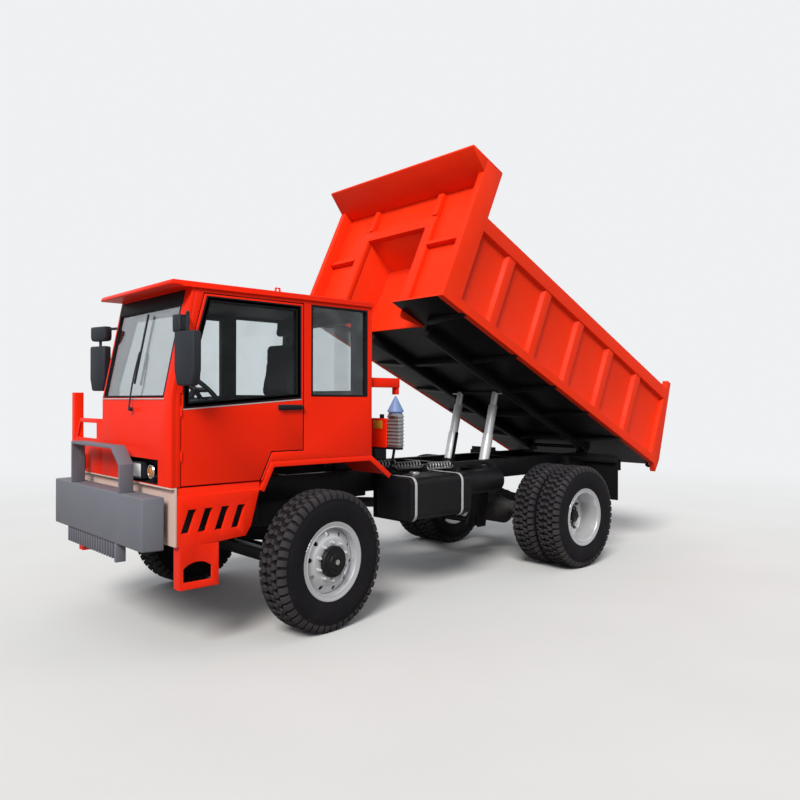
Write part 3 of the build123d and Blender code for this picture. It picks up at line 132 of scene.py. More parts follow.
class Recipe:
    """One material's nodes, added one at a time."""

    def __init__(self, name: str, world: bool = False) -> None:
        """Start an empty material or world.

        Args:
            name: its name.
            world: whether it is a world.
        """
        self.holder = (bpy.data.worlds if world else bpy.data.materials).new(name)
        self.holder.use_nodes = True
        self.tree = self.holder.node_tree
        self.tree.nodes.clear()
        self.output = "ShaderNodeOutputWorld" if world else "ShaderNodeOutputMaterial"

    def add(self, kind: str, settings: Optional[dict] = None, inputs: Optional[dict] = None,
            output: Union[int, str] = 0) -> Value:
        """Add a node.

        Args:
            kind: the node's type.
            settings: its properties, which are set first.
            inputs: values or links for its sockets, by name or number.
            output: the socket that is returned.

        Returns:
            The output socket, wrapped.
        """
        node = self.tree.nodes.new(kind)
        for key, value in (settings or {}).items():
            setattr(node, key, value)
        for key, value in (inputs or {}).items():
            if isinstance(value, Value):
                self.tree.links.new(value.socket, node.inputs[key])
            else:
                node.inputs[key].default_value = value
        return Value(self, node.outputs[output] if node.outputs else None)

    def place(self) -> Value:
        """The point on the piece, in metres."""
        return self.add("ShaderNodeTexCoord", output="Object")

    def part_of(self, vector: Value, axis: str) -> Value:
        """One coordinate of a vector."""
        return self.add("ShaderNodeSeparateXYZ", inputs={0: vector}, output=axis)

    def scaled(self, vector: Value, scale: Point) -> Value:
        """A vector multiplied by a scale for each axis."""
        return self.add("ShaderNodeVectorMath", {"operation": "MULTIPLY"}, {0: vector, 1: scale})

    def noise(self, vector: Value, scale: float, detail: float = 3.0, roughness: float = 0.5) -> Value:
        """Noise from 0 to 1."""
        inputs = {"Vector": vector, "Scale": scale, "Detail": detail, "Roughness": roughness}
        return self.add("ShaderNodeTexNoise", inputs=inputs, output="Fac")

    def mix(self, factor: Number, low: Union[Point, Value], high: Union[Point, Value]) -> Value:
        """A colour between two others."""
        ends = [end if isinstance(end, Value) else (*end, 1.0) for end in (low, high)]
        return self.add("ShaderNodeMix", {"data_type": "RGBA"}, {0: factor, 6: ends[0], 7: ends[1]}, 2)

    def bump(self, height: Value) -> Value:
        """A normal from a height in metres."""
        return self.add("ShaderNodeBump", inputs={"Strength": 1.0, "Distance": 1.0, "Height": height})

    def finish(self, shader: Value) -> Union[bpy.types.Material, bpy.types.World]:
        """Wire the shader to the output and hand over the material or world."""
        self.add(self.output, inputs={"Surface": shader})
        return self.holder


@dataclass(frozen=True)
class Finish:
    """A surface's colour, gloss, feel and dirt."""

    name: str
    slot: str
    colour: tuple
    feel: Feel
    roughness: float = 0.4
    metallic: float = 0.0
    dust: float = 0.3
    mottle: float = 0.10
    sheen: float = 0.26

    def relief(self, recipe: Recipe, place: Value) -> Value:
        """The surface's height in metres.

        Args:
            recipe: the material in the making.
            place: the point on the piece.

        Returns:
            The height.
        """
        scale, detail, height = self.feel.value
        if self.feel is Feel.WOVEN:
            across = recipe.part_of(place, "Y") * scale
            along = (recipe.part_of(place, "X") + recipe.part_of(place, "Z")) * scale
            return (across.sine() + along.sine()) * height
        if self.feel is Feel.BRUSHED:
            place = recipe.scaled(place, (400.0, 400.0, 8.0))
        fine = recipe.noise(place, scale, detail) * height
        if self.feel is Feel.SPRAYED:
            return recipe.noise(place, WAVE_SCALE, 1.0) * WAVE_HEIGHT + fine
        return fine

    def dust_mask(self, recipe: Recipe, place: Value) -> Value:
        """Where dust lies: low down and on top of things, in patches.

        Args:
            recipe: the material in the making.
            place: the point on the piece.

        Returns:
            The dust's share of the surface.
        """
        normal = recipe.add("ShaderNodeNewGeometry", output="Normal")
        upward = recipe.part_of(normal, "Z").rise(0.5, 0.95)
        low = 1.0 - recipe.part_of(place, "Z").rise(0.15, 1.35)
        patches = recipe.noise(place, 5.0, 6.0, 0.62).rise(0.30, 0.75)
        return (low * 0.55 + upward * 0.30 + 0.06) * patches * self.dust

    @lru_cache(maxsize=None)
    def material(self) -> bpy.types.Material:
        """The finish as a material, made once.

        Returns:
            The material.
        """
        recipe = Recipe(self.name)
        place = recipe.place()
        pale = tuple(min(1.0, c * (1 + self.mottle)) for c in self.colour)
        deep = tuple(c * (1 - self.mottle) for c in self.colour)
        paint = recipe.mix(recipe.noise(place, 2.3, 4.0), deep, pale)
        mask = self.dust_mask(recipe, place)
        grime = recipe.noise(place, 38.0, 5.0) - 0.5
        return recipe.finish(recipe.add("ShaderNodeBsdfPrincipled", inputs={
            "Base Color": recipe.mix(mask, paint, DUST), "Metallic": self.metallic,
            "Roughness": mask * 0.5 + grime * 0.10 + self.roughness,
            "Normal": recipe.bump(self.relief(recipe, place)), "Specular IOR Level": self.sheen}))


@dataclass(frozen=True)
class Glass:
    """A clear pane: tinted, glossy at a glancing angle, and a little dusty."""

    name: str
    tint: tuple
    haze: float
    gloss: float

    def material(self) -> bpy.types.Material:
        """The pane as a material.

        Returns:
            The material.
        """
        recipe = Recipe(self.name)
        haze = recipe.noise(recipe.place(), 6.0, 3.0).rise(0.35, 0.8) * self.haze + 0.01
        edge = recipe.add("ShaderNodeLayerWeight", inputs={"Blend": 0.5}, output="Facing").power(2.0)
        clear = recipe.add("ShaderNodeBsdfTransparent", inputs={"Color": (*self.tint, 1.0)})
        gloss = recipe.add("ShaderNodeBsdfPrincipled", inputs={
            "Base Color": (0.84, 0.86, 0.88, 1.0), "Roughness": 0.04, "Metallic": 1.0})
        return recipe.finish(recipe.add("ShaderNodeMixShader", inputs={
            0: haze + edge * self.gloss, 1: clear, 2: gloss}))


RED = Finish("red_enamel", "red_paint", (0.88, 0.019, 0.002), Feel.SPRAYED, 0.36, dust=0.12, mottle=0.03,
             sheen=0.11)
BED_RED = Finish("bed_enamel", "red_paint", (0.84, 0.031, 0.004), Feel.SPRAYED, 0.46, dust=0.36, mottle=0.06,
                 sheen=0.10)
GREY = Finish("grey_enamel", "grey_paint", (0.140, 0.145, 0.172), Feel.SPRAYED, 0.48, dust=0.25)
BLACK = Finish("black_enamel", "black_paint", (0.0070, 0.0068, 0.0085), Feel.SPRAYED, 0.42, dust=0.06,
               sheen=0.16)
PALE = Finish("pale_primer_coat", "pale_primer", (0.64, 0.46, 0.40), Feel.SPRAYED, 0.60, dust=0.25)
SILVER = Finish("silver_wheel_paint", "silver_paint", (0.62, 0.62, 0.64), Feel.SPRAYED, 0.30, 0.55, dust=0.22)
CAST = Finish("cast_iron_coat", "cast_metal", (0.030, 0.030, 0.034), Feel.CAST, 0.58, 0.2, dust=0.30)
CHROME = Finish("hard_chrome", "polished_steel", (0.68, 0.69, 0.70), Feel.BRUSHED, 0.44, 0.45, dust=0.15)
PLATED = Finish("bright_plating", "polished_steel", (0.78, 0.79, 0.81), Feel.POLISHED, 0.12, 1.0, dust=0.05)
STEEL = Finish("bright_steel", "silver_paint", (0.60, 0.60, 0.59), Feel.BRUSHED, 0.36, 0.85, dust=0.15)
TYRE = Finish("tyre_compound", "tyre_rubber", (0.0095, 0.0086, 0.0108), Feel.RUBBER, 0.62, dust=0.04,
              sheen=0.08)
TREAD = Finish("worn_tread", "tyre_rubber", (0.033, 0.031, 0.035), Feel.RUBBER, 0.75, dust=0.16, sheen=0.08)
RUBBER = Finish("seal_rubber", "flap_rubber", (0.007, 0.007, 0.008), Feel.RUBBER, 0.55, dust=0.04, sheen=0.12)
PLASTIC = Finish("moulded_plastic", "black_plastic", (0.020, 0.023, 0.030), Feel.MOULDED, 0.42, dust=0.12)
TRIM = Finish("cab_lining", "black_plastic", (0.011, 0.011, 0.013), Feel.MOULDED, 0.6, dust=0.03, sheen=0.12)
CLOTH = Finish("seat_cloth", "seat_fabric", (0.014, 0.014, 0.018), Feel.WOVEN, 0.85, dust=0.05)
BLUE = Finish("blue_enamel", "black_plastic", (0.17, 0.25, 0.46), Feel.SPRAYED, 0.4, dust=0.15)
BRIGHT = Finish("strap_plating", "silver_paint", (0.50, 0.50, 0.50), Feel.BRUSHED, 0.42, 0.25, dust=0.1)
ALLOY = Finish("cast_alloy", "silver_paint", (0.36, 0.38, 0.38), Feel.CAST, 0.45, 0.7, dust=0.25)
YELLOW = Finish("yellow_plate", "red_paint", (0.60, 0.36, 0.03), Feel.SPRAYED, 0.5, dust=0.2)
FROST = Finish("fluted_lens", "lamp_lens", (0.68, 0.69, 0.68), Feel.POLISHED, 0.16, dust=0.1)
AMBER = Finish("amber_lens", "lamp_lens", (0.50, 0.17, 0.03), Feel.POLISHED, 0.2, dust=0.1)
RUBY = Finish("red_lens", "lamp_lens", (0.45, 0.01, 0.01), Feel.POLISHED, 0.2, dust=0.1)
MIRROR = Finish("mirror_glass", "black_plastic", (0.75, 0.78, 0.80), Feel.POLISHED, 0.05, 1.0, dust=0.05)
WINDOW = Glass("window_pane", (0.90, 0.92, 0.925), 0.05, 1.0)
DOOR_PANE = Glass("door_pane", (0.92, 0.94, 0.945), 0.01, 0.3)


def to_mesh(part: bmesh.types.BMesh, name: str = "part") -> bpy.types.Mesh:
    """Write a bmesh to a mesh and free it.

    Args:
        part: the bmesh.
        name: the mesh's name.

    Returns:
        The mesh.
    """
    mesh = bpy.data.meshes.new(name)
    part.to_mesh(mesh)
    part.free()
    return mesh


def from_mesh(mesh: bpy.types.Mesh, remove: bool = True) -> bmesh.types.BMesh:
    """Read a mesh into a bmesh.

    Args:
        mesh: the mesh.
        remove: whether the mesh is removed then.

    Returns:
        The bmesh.
    """
    part = bmesh.new()
    part.from_mesh(mesh)
    if remove:
        bpy.data.meshes.remove(mesh)
    return part


def push(part: bmesh.types.BMesh, faces: Sequence[bmesh.types.BMFace], along: Point) -> list:
    """Extrude faces along a vector.

    Args:
        part: the bmesh.
        faces: the faces.
        along: how far they go.

    Returns:
        The vertices that moved.
    """
    pushed = bmesh.ops.extrude_face_region(part, geom=faces)
    moved = [g for g in pushed["geom"] if isinstance(g, bmesh.types.BMVert)]
    bmesh.ops.translate(part, vec=Vector(along), verts=moved)
    return moved


def soften(part: bmesh.types.BMesh, amount: float, degrees: float) -> None:
    """Round the edges that are sharper than an angle.

    Args:
        part: the bmesh.
        amount: how far they are rounded, or 0 for not at all.
        degrees: the angle.
    """
    if amount:
        sharp = [e for e in part.edges if e.is_manifold and e.calc_face_angle(0.0) > math.radians(degrees)]
        bmesh.ops.bevel(part, geom=sharp, offset=amount, offset_type="OFFSET", segments=2, profile=0.5,
                        affect="EDGES", clamp_overlap=True, material=-1)


def linked(name: str, data: bpy.types.ID) -> bpy.types.Object:
    """Add an object to the scene.

    Args:
        name: its name.
        data: its mesh, light or camera.

    Returns:
        The object.
    """
    holder = bpy.data.objects.new(name, data)
    bpy.context.scene.collection.objects.link(holder)
    return holder


class Shape:
    """A piece in the making. Each call adds a closed part, built in the shape's own frame."""

    def __init__(self, at: Matrix = TRUCK) -> None:
        """Start an empty shape whose parts are placed by a matrix."""
        self.mesh = bmesh.new()
        self.at = at

    def absorb(self, part: bmesh.types.BMesh) -> "Shape":
        """Add a part that is already in place.

        Args:
            part: the part.

        Returns:
            The shape.
        """
        mesh = to_mesh(part)
        self.mesh.from_mesh(mesh)
        bpy.data.meshes.remove(mesh)
        return self

    def take(self, part: bmesh.types.BMesh, slot: Optional[int] = 0, round_by: float = 0.0) -> "Shape":
        """Round a part's edges, place it and add it.

        Args:
            part: the part, in the shape's frame.
            slot: which of the piece's finishes it has; None keeps its own.
            round_by: how far its sharp edges are rounded.

        Returns:
            The shape.
        """
        soften(part, round_by, SOFT_DEGREES)
        for face in part.faces:
            face.material_index = face.material_index if slot is None else slot
        bmesh.ops.transform(part, matrix=self.at, verts=part.verts)
        bmesh.ops.recalc_face_normals(part, faces=part.faces)
        return self.absorb(part)

    def block(self, low: Point, high: Point, slot: int = 0, round_by: float = 0.002) -> "Shape":
        """Add a block.

        Args:
            low: its lowest corner.
            high: its highest corner.
            slot: which of the piece's finishes it has.
            round_by: how far its edges are rounded.

        Returns:
            The shape.
        """
        part = bmesh.new()
        low, high = Vector(low), Vector(high)
        matrix = Matrix.Translation((low + high) / 2) @ Matrix.Diagonal((*(high - low), 1.0))
        bmesh.ops.create_cube(part, size=1.0, matrix=matrix)
        return self.take(part, slot, round_by)

    def rod(self, start: Point, end: Point, radius: float, slot: int = 0, segments: int = 20,
            round_by: float = 0.0) -> "Shape":
        """Add a round or, with 6 segments, a hexagonal bar.

        Args:
            start: the middle of one end.
            end: the middle of the other.
            radius: its radius.
            slot: which of the piece's finishes it has.
            segments: its number of sides.
            round_by: how far its edges are rounded.

        Returns:
            The shape.
        """
        part = bmesh.new()
        start, end = Vector(start), Vector(end)
        turn = Vector((0, 0, 1)).rotation_difference(end - start).to_matrix().to_4x4()
        bmesh.ops.create_cone(part, cap_ends=True, segments=segments, radius1=radius, radius2=radius,
                              depth=(end - start).length, matrix=Matrix.Translation((start + end) / 2) @ turn)
        return self.take(part, slot, round_by)

    def ball(self, centre: Point, radius: float) -> "Shape":
        """Add a ball.

        Args:
            centre: its middle.
            radius: its radius.

        Returns:
            The shape.
        """
        part = bmesh.new()
        matrix = Matrix.Translation(centre)
        bmesh.ops.create_uvsphere(part, u_segments=20, v_segments=10, radius=radius, matrix=matrix)
        return self.take(part)

    def lathe(self, profile: Sequence[Point], slot: int = 0, segments: int = 96, centre: Point = (0, 0, 0),
              axis: Point = (0, 1, 0)) -> "Shape":
        """Spin a closed section about an axis.

        Args:
            profile: the section's points in order, as (along, radius) pairs.
            slot: which of the piece's finishes it has.
            segments: steps round the axis.
            centre: a point on the axis.
            axis: the axis.

        Returns:
            The shape.
        """
        part = bmesh.new()
        axis, centre = Vector(axis), Vector(centre)
        side_way = axis.orthogonal().normalized()
        ring = [part.verts.new(centre + axis * along + side_way * radius) for along, radius in profile]
        edges = [part.edges.new(pair) for pair in zip(ring, ring[1:] + ring[:1])]
        bmesh.ops.spin(part, geom=ring + edges, cent=centre, axis=axis, angle=math.tau, steps=segments,
                       use_merge=True)
        bmesh.ops.remove_doubles(part, verts=part.verts, dist=MERGE)
        return self.take(part, slot)

    def prism(self, outline: Sequence[Point], depth: Point, slot: int = 0, round_by: float = 0.0,
              width: float = 0.0) -> "Shape":
        """Add a flat plate or frame, pushed along a vector.

        Args:
            outline: its corners in space.
            depth: the vector.
            slot: which of the piece's finishes it has.
            round_by: how far its edges are rounded.
            width: how far a frame reaches in from the outline, or 0 for a plate.

        Returns:
            The shape.
        """
        part = bmesh.new()
        face = part.faces.new([part.verts.new(p) for p in outline])
        if width:
            part.normal_update()
            bmesh.ops.inset_region(part, faces=[face], thickness=width, use_even_offset=True,
                                   use_boundary=True)
            bmesh.ops.delete(part, geom=[face], context="FACES_ONLY")
        push(part, part.faces[:], depth)
        bmesh.ops.recalc_face_normals(part, faces=part.faces)
        return self.take(part, slot, round_by)

    def hose(self, route: Sequence[Point], radius: float) -> "Shape":
        """Add a round hose on a smooth line.

        Args:
            route: the points that guide the line.
            radius: the hose's radius.

        Returns:
            The shape.
        """
        curve = bpy.data.curves.new("hose", "CURVE")
        curve.dimensions = "3D"
        curve.bevel_depth, curve.bevel_resolution, curve.resolution_u = radius, 3, 8
        curve.use_fill_caps = True
        spline = curve.splines.new("NURBS")
        spline.points.add(len(route) - 1)
        for point, place in zip(spline.points, route):
            point.co = (*place, 1.0)
        spline.order_u, spline.use_endpoint_u = 3, True
        holder = bpy.data.objects.new("hose", curve)
        part = from_mesh(bpy.data.meshes.new_from_object(holder))
        bmesh.ops.remove_doubles(part, verts=part.verts, dist=MERGE)
        bpy.data.objects.remove(holder)
        bpy.data.curves.remove(curve)
        return self.take(part)

    def nut(self, centre: Point, axis: Point, size: float, slot: int = 0, washer: bool = False) -> "Shape":
        """Add a nut on its bolt's end.

        Args:
            centre: its foot.
            axis: the way that it stands.
            size: its radius.
            slot: which of the piece's finishes it has.
            washer: whether it has one.

        Returns:
            The shape.
        """
        centre, axis = Vector(centre), Vector(axis).normalized()
        if washer:
            self.rod(centre, centre + axis * size * 0.2, size * 1.35, slot, 16)
        self.rod(centre, centre + axis * size, size, slot, 6)
        return self.rod(centre, centre + axis * size * 1.4, size * 0.5, slot, 10)

    def node(self, name: str, round_by: float, slot_of: Optional[Callable] = None) -> "Shape":
        """Add a rounded copy of one of the frame's own pieces.

        Args:
            name: the piece's name.
            round_by: how far its sharp edges are rounded.
            slot_of: gives a face's finish from its centre and normal, in the shape's frame.

        Returns:
            The shape.
        """
        part = from_mesh(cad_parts[name].data, False)
        bmesh.ops.transform(part, matrix=self.at.inverted(), verts=part.verts)
        bmesh.ops.remove_doubles(part, verts=part.verts, dist=MERGE * 2)
        flat = math.radians(FLAT_DEGREES)
        bmesh.ops.dissolve_limit(part, angle_limit=flat, verts=part.verts, edges=part.edges)
        bent = [f for f in part.faces if len(f.verts) > 4 and any(not l.is_convex for l in f.loops)]
        bmesh.ops.triangulate(part, faces=bent, ngon_method="BEAUTY")
        slots = [slot_of(f.calc_center_median(), f.normal) if slot_of else 0 for f in part.faces]
        for face, slot in zip(part.faces, slots):
            face.material_index = slot
        soften(part, round_by, NODE_DEGREES)
        bmesh.ops.transform(part, matrix=self.at, verts=part.verts)
        return self.absorb(part)

    def finish(self, name: str, body: str, finishes: Union[Finish, Sequence[Finish]],
               replaces: Sequence[str] = (), sharp: float = SOFT_DEGREES) -> bpy.types.Object:
        """Make the shape a piece that rides on a body.

        Args:
            name: the piece's name.
            body: the body that it moves with.
            finishes: its finish or finishes, by slot.
            replaces: the frame's pieces that it stands for.
            sharp: the angle from which an edge is drawn sharp.

        Returns:
            The piece.
        """
        mesh = to_mesh(self.mesh, name)
        finishes = [finishes] if isinstance(finishes, Finish) else list(finishes)
        for finish in finishes:
            mesh.materials.append(finish.material())
        mesh.polygons.foreach_set("use_smooth", [True] * len(mesh.polygons))
        mesh.set_sharp_from_angle(angle=math.radians(sharp))
        piece = linked(name, mesh)
        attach(piece, body)
        if replaces:
            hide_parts(*replaces)
        LOG.info("%s: %d faces on %s", name, len(mesh.polygons), body)
        return piece


def coat(node: str, piece: str, finishes: Union[Finish, Sequence[Finish]], round_by: float = 0.004,
         body: str = "chassis", slot_of: Optional[Callable] = None, at: Matrix = TRUCK,
         sharp: float = SOFT_DEGREES) -> None:
    """Make a piece of one of the frame's own, with rounded edges and its finishes."""
    Shape(at).node(node, round_by, slot_of).finish(piece, body, finishes, [node], sharp)


def repaint(name: str, glass: Glass) -> None:
    """Give one of the frame's own panes its glass.

    Args:
        name: the pane.
        glass: its glass.
    """
    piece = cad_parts[name]
    piece.data.materials.clear()
    piece.data.materials.append(glass.material())


def circle(count: int, radius: float, start: float = 0.0) -> list:
    """Evenly spaced points on a circle.

    Args:
        count: how many points.
        radius: the circle's radius.
        start: the first point's angle in degrees.

    Returns:
        Pairs of coordinates.
    """
    angles = [math.radians(start) + math.tau * i / count for i in range(count)]
    return [(radius * math.cos(a), radius * math.sin(a)) for a in angles]


def side(points: Sequence[Point], y: float) -> list:
    """Points of (forward, up) in millimetres, stood up at a side, in metres."""
    return [(x / 1000, y, z / 1000) for x, z in points]


def cut(body: Shape, tool: Shape) -> bmesh.types.BMesh:
    """Cut one shape out of another.

    Args:
        body: what is cut.
        tool: what is taken away.

    Returns:
        What is left.
    """
    holders = [linked("cut", to_mesh(shape.mesh, "cut")) for shape in (body, tool)]
    modifier = holders[0].modifiers.new("cut", "BOOLEAN")
    modifier.operation, modifier.object, modifier.solver = "DIFFERENCE", holders[1], "EXACT"
    made = applied(holders[0])
    for holder in holders:
        mesh = holder.data
        bpy.data.objects.remove(holder)
        bpy.data.meshes.remove(mesh)
    return from_mesh(made)


def applied(holder: bpy.types.Object) -> bpy.types.Mesh:
    """The object's mesh with its modifiers applied, as a new mesh."""
    graph = bpy.context.evaluated_depsgraph_get()
    return bpy.data.meshes.new_from_object(holder.evaluated_get(graph))


@dataclass
class Tyre:
    """A lugged truck tyre, with its axis along the wheel frame's Y."""

    radius: float = 0.5275
    groove: float = 0.021
    root: float = 0.006
    pitches: int = 48
    wall: tuple = (
        (0.1225, 0.486), (0.1265, 0.470), (0.1300, 0.452), (0.1312, 0.440), (0.1330, 0.437), (0.1345, 0.425),
        (0.1350, 0.400), (0.1340, 0.372), (0.1322, 0.350), (0.1300, 0.340), (0.1290, 0.333), (0.1262, 0.322),
        (0.1225, 0.3125), (0.1235, 0.308), (0.1190, 0.2995), (0.1080, 0.2990), (0.1000, 0.2600))
    shape: Shape = field(default_factory=lambda: Shape(ORIGIN))

    def carcass(self) -> None:
        """Add the body of the tyre, its beads and its ribbed sidewalls."""
        half = ((0.092, self.radius - self.groove), (0.112, self.radius - 0.026), *self.wall)
        self.shape.lathe([*half, *((-a, r) for a, r in reversed(half))], 0, 112)

    def lug(self, angle: float, outline: Sequence[Point]) -> None:
        """Add one block of tread.

        Args:
            angle: its place round the tyre.
            outline: its foot's corners, as (across, along) pairs.
        """
        part = bmesh.new()
        face = part.faces.new([part.verts.new((s, a, 0)) for a, s in outline])
        moved = push(part, [face], (0, 0, self.groove + self.root))
        middle = sum((v.co for v in moved), Vector()) / len(moved)
        bmesh.ops.scale(part, vec=(0.90, 0.92, 1.0), space=Matrix.Translation(-middle), verts=moved)
        self.put(part, angle, self.radius - self.groove - self.root)

    def shoulder(self, angle: float, way: int) -> None:
        """Add one shoulder block, which wraps down the side of the tyre.

        Args:
            angle: its place round the tyre.
            way: 1 for the outer side and -1 for the inner one.
        """
        half = math.pi * self.radius / self.pitches * 0.62
        section = ((0.088, self.radius - 0.024), (0.088, self.radius), (0.103, self.radius - 0.0025),
                   (0.118, self.radius - 0.013), (0.1285, 0.489), (0.1300, 0.470), (0.120, 0.468))
        part = bmesh.new()
        face = part.faces.new([part.verts.new((-half, way * a, r)) for a, r in section])
        push(part, [face], (2 * half, 0, 0))
        self.put(part, angle, 0.0)

    def put(self, part: bmesh.types.BMesh, angle: float, height: float) -> None:
        """Raise a block from the axis, turn it to its place and add it.

        Args:
            part: the block.
            angle: its place round the tyre.
            height: how far it is raised.
        """
        turn = Matrix.Rotation(angle, 4, "Y") @ Matrix.Translation((0, 0, height))
        bmesh.ops.transform(part, matrix=turn, verts=part.verts)
        self.shape.take(part, 1)

    def tread(self) -> None:
        """Add the blocks: a centre row, two staggered rows and the two shoulders."""
        pitch = math.tau / self.pitches
        arc = pitch * self.radius
        a, b = arc * 0.345, arc * 0.20
        middle = [(-0.016, -a), (0.016, -a + b), (0.016, a), (-0.016, a - b)]
        inner = [(0.027, -a), (0.052, -a + b), (0.080, -a), (0.080, a - b), (0.052, a), (0.027, a - b)]
        for index in range(self.pitches):
            angle = index * pitch
            self.lug(angle, middle)
            self.lug(angle + pitch * 0.5, inner)
            self.lug(angle, [(-x, y) for x, y in reversed(inner)])
            self.shoulder(angle, 1)
            self.shoulder(angle + pitch * 0.5, -1)

    def mesh(self) -> bpy.types.Mesh:
        """One tyre about the origin, as a mesh to copy.

        Returns:
            The mesh.
        """
        self.carcass()
        self.tread()
        return to_mesh(self.shape.mesh, "tyre_pattern")


@dataclass
class Wheel:
    """A steered wheel or a pair of twin ones, in a frame whose Y is the axis."""

    name: str
    body: str
    at: Matrix
    twin: bool
    twin_half: float = 0.155
    tread_turn: float = 3.0
    hand_holes: int = 10
    hole_radius: float = 0.0175
    hole_start: float = 9.0
    studs: int = 10
    stud_circle: float = 0.1425
    stud_start: float = 18.0
    rim: tuple = (
        (-0.118, 0.2980), (-0.110, 0.2985), (-0.103, 0.268), (-0.092, 0.2535), (0.086, 0.2535),
        (0.100, 0.268), (0.108, 0.2965), (0.1145, 0.2985), (0.1185, 0.2955), (0.1185, 0.288),
        (0.1125, 0.272), (0.1115, 0.262), (0.1145, 0.258), (0.1120, 0.2525), (0.0980, 0.2465),
        (-0.098, 0.2445), (-0.112, 0.257), (-0.118, 0.286))
    front_disc: tuple = (
        (0.040, 0.246), (0.054, 0.232), (0.078, 0.184), (0.088, 0.168), (0.088, 0.060), (0.1005, 0.060),
        (0.1005, 0.166), (0.0985, 0.175), (0.0925, 0.184), (0.0675, 0.232), (0.052, 0.2465))
    rear_disc: tuple = (
        (0.0, 0.100), (0.012, 0.100), (0.012, 0.172), (0.020, 0.188), (0.060, 0.236), (0.060, 0.246),
        (0.046, 0.2465), (0.002, 0.192), (0.0, 0.180))
    front_hub: tuple = (
        (-0.06, 0.036), (-0.06, 0.105), (0.088, 0.105), (0.101, 0.118), (0.126, 0.118), (0.133, 0.112),
        (0.136, 0.094), (0.146, 0.091), (0.149, 0.066), (0.1545, 0.062), (0.158, 0.050), (0.158, 0.0),
        (0.06, 0.0), (0.06, 0.036))
    rear_hub: tuple = (
        (-0.15, 0.046), (-0.15, 0.12), (-0.04, 0.12), (-0.02, 0.11), (0.04, 0.11), (0.055, 0.116),
        (0.108, 0.116), (0.114, 0.110), (0.118, 0.088), (0.132, 0.086), (0.137, 0.080), (0.140, 0.062),
        (0.156, 0.058), (0.158, 0.050), (0.158, 0.0), (0.11, 0.0), (0.11, 0.046))

    def tyres(self, pattern: bpy.types.Mesh) -> None:
        """Put on one tyre, or two.

        Args:
            pattern: a tyre about the origin.
        """
        shape = Shape(self.at)
        for shift in ((-self.twin_half, self.twin_half) if self.twin else (0.0,)):
            part = from_mesh(pattern, False)
            turn = Matrix.Rotation(shift * self.tread_turn, 3, "Y")
            bmesh.ops.rotate(part, cent=(0, 0, 0), matrix=turn, verts=part.verts)
            bmesh.ops.translate(part, vec=(0, shift, 0), verts=part.verts)
            shape.take(part, None)
        which, node = ("rear", "rear_tyres") if self.twin else ("front", "front_tyre")
        name = f"{which}_tread_tyre_{self.name}"
        shape.finish(name, self.body, (TYRE, TREAD), [f"{node}_{self.name}"], 38.0)

    def barrel(self, shape: Shape, middle: float) -> None:
        """Add a rim's barrel with its two flanges and lock ring, about a middle plane."""
        shape.lathe([(middle + a, r) for a, r in self.rim], 0, 128)

    def disc(self, shape: Shape, profile: Sequence[Point], hole_circle: float) -> None:
        """Add a wheel disc with its hand holes cut.

        Args:
            shape: the rim that it belongs to.
            profile: its section.
            hole_circle: the radius that the holes stand on.
        """
        holes = Shape(ORIGIN)
        for x, z in circle(self.hand_holes, hole_circle, self.hole_start):
            holes.rod((x, -0.05, z), (x, 0.20, z), self.hole_radius, 0, 24)
        shape.take(cut(Shape(ORIGIN).lathe(profile, 0, 128), holes))

    def front(self) -> None:
        """Dress a steered wheel: one disc that bulges outwards, and its hub."""
        rim = Shape(self.at)
        self.disc(rim, self.front_disc, 0.2075)
        self.barrel(rim, 0.0)
        rim.rod((0.19, 0.03, 0.135), (0.205, 0.085, 0.146), 0.004, 1, 8)
        rim.finish(f"front_wheel_rim_{self.name}", self.body, (SILVER, STEEL), [f"front_rim_{self.name}"])
        hub = Shape(self.at).lathe(self.front_hub, 0, 64)
        for x, z in circle(8, 0.1035):
            hub.nut((x, 0.131, z), (0, 1, 0), 0.0065)
        hub.rod((0, 0.150, 0), (0, 0.164, 0), 0.021, 1, 6)
        hub.finish(f"front_hub_{self.name}", self.body, (BLACK, STEEL))

    def rear(self) -> None:
        """Dress a twin rear wheel: two dished discs back to back, and their hub."""
        rims = Shape(self.at)
        for end in (-1, 1):
            self.disc(rims, [(end * a, r) for a, r in self.rear_disc], 0.214)
            self.barrel(rims, end * self.twin_half)
        rims.finish(f"rear_wheel_rims_{self.name}", self.body, SILVER, [f"rear_rims_{self.name}"])
        hub = Shape(self.at).lathe(self.rear_hub, 0, 64)
        for count, radius, foot, size in ((10, 0.099, 0.112, 0.0075), (8, 0.072, 0.136, 0.0065)):
            for x, z in circle(count, radius):
                hub.nut((x, foot, z), (0, 1, 0), size, 1)
        hub.finish(f"rear_hub_{self.name}", self.body, (BLACK, STEEL))

    def nuts(self) -> None:
        """Add the wheel nuts on their studs."""
        which, face = ("rear", 0.012) if self.twin else ("front", 0.1005)
        shape = Shape(self.at)
        for x, z in circle(self.studs, self.stud_circle, self.stud_start):
            for height, radius, segments, round_by in (
                    (0.004, 0.0185, 20, 0.0), (0.020, 0.0145, 6, 0.0012), (0.030, 0.0080, 12, 0.0)):
                shape.rod((x, face, z), (x, face + height, z), radius, 0, segments, round_by)
        shape.finish(f"wheel_nuts_{which}_{self.name}", self.body, SILVER)


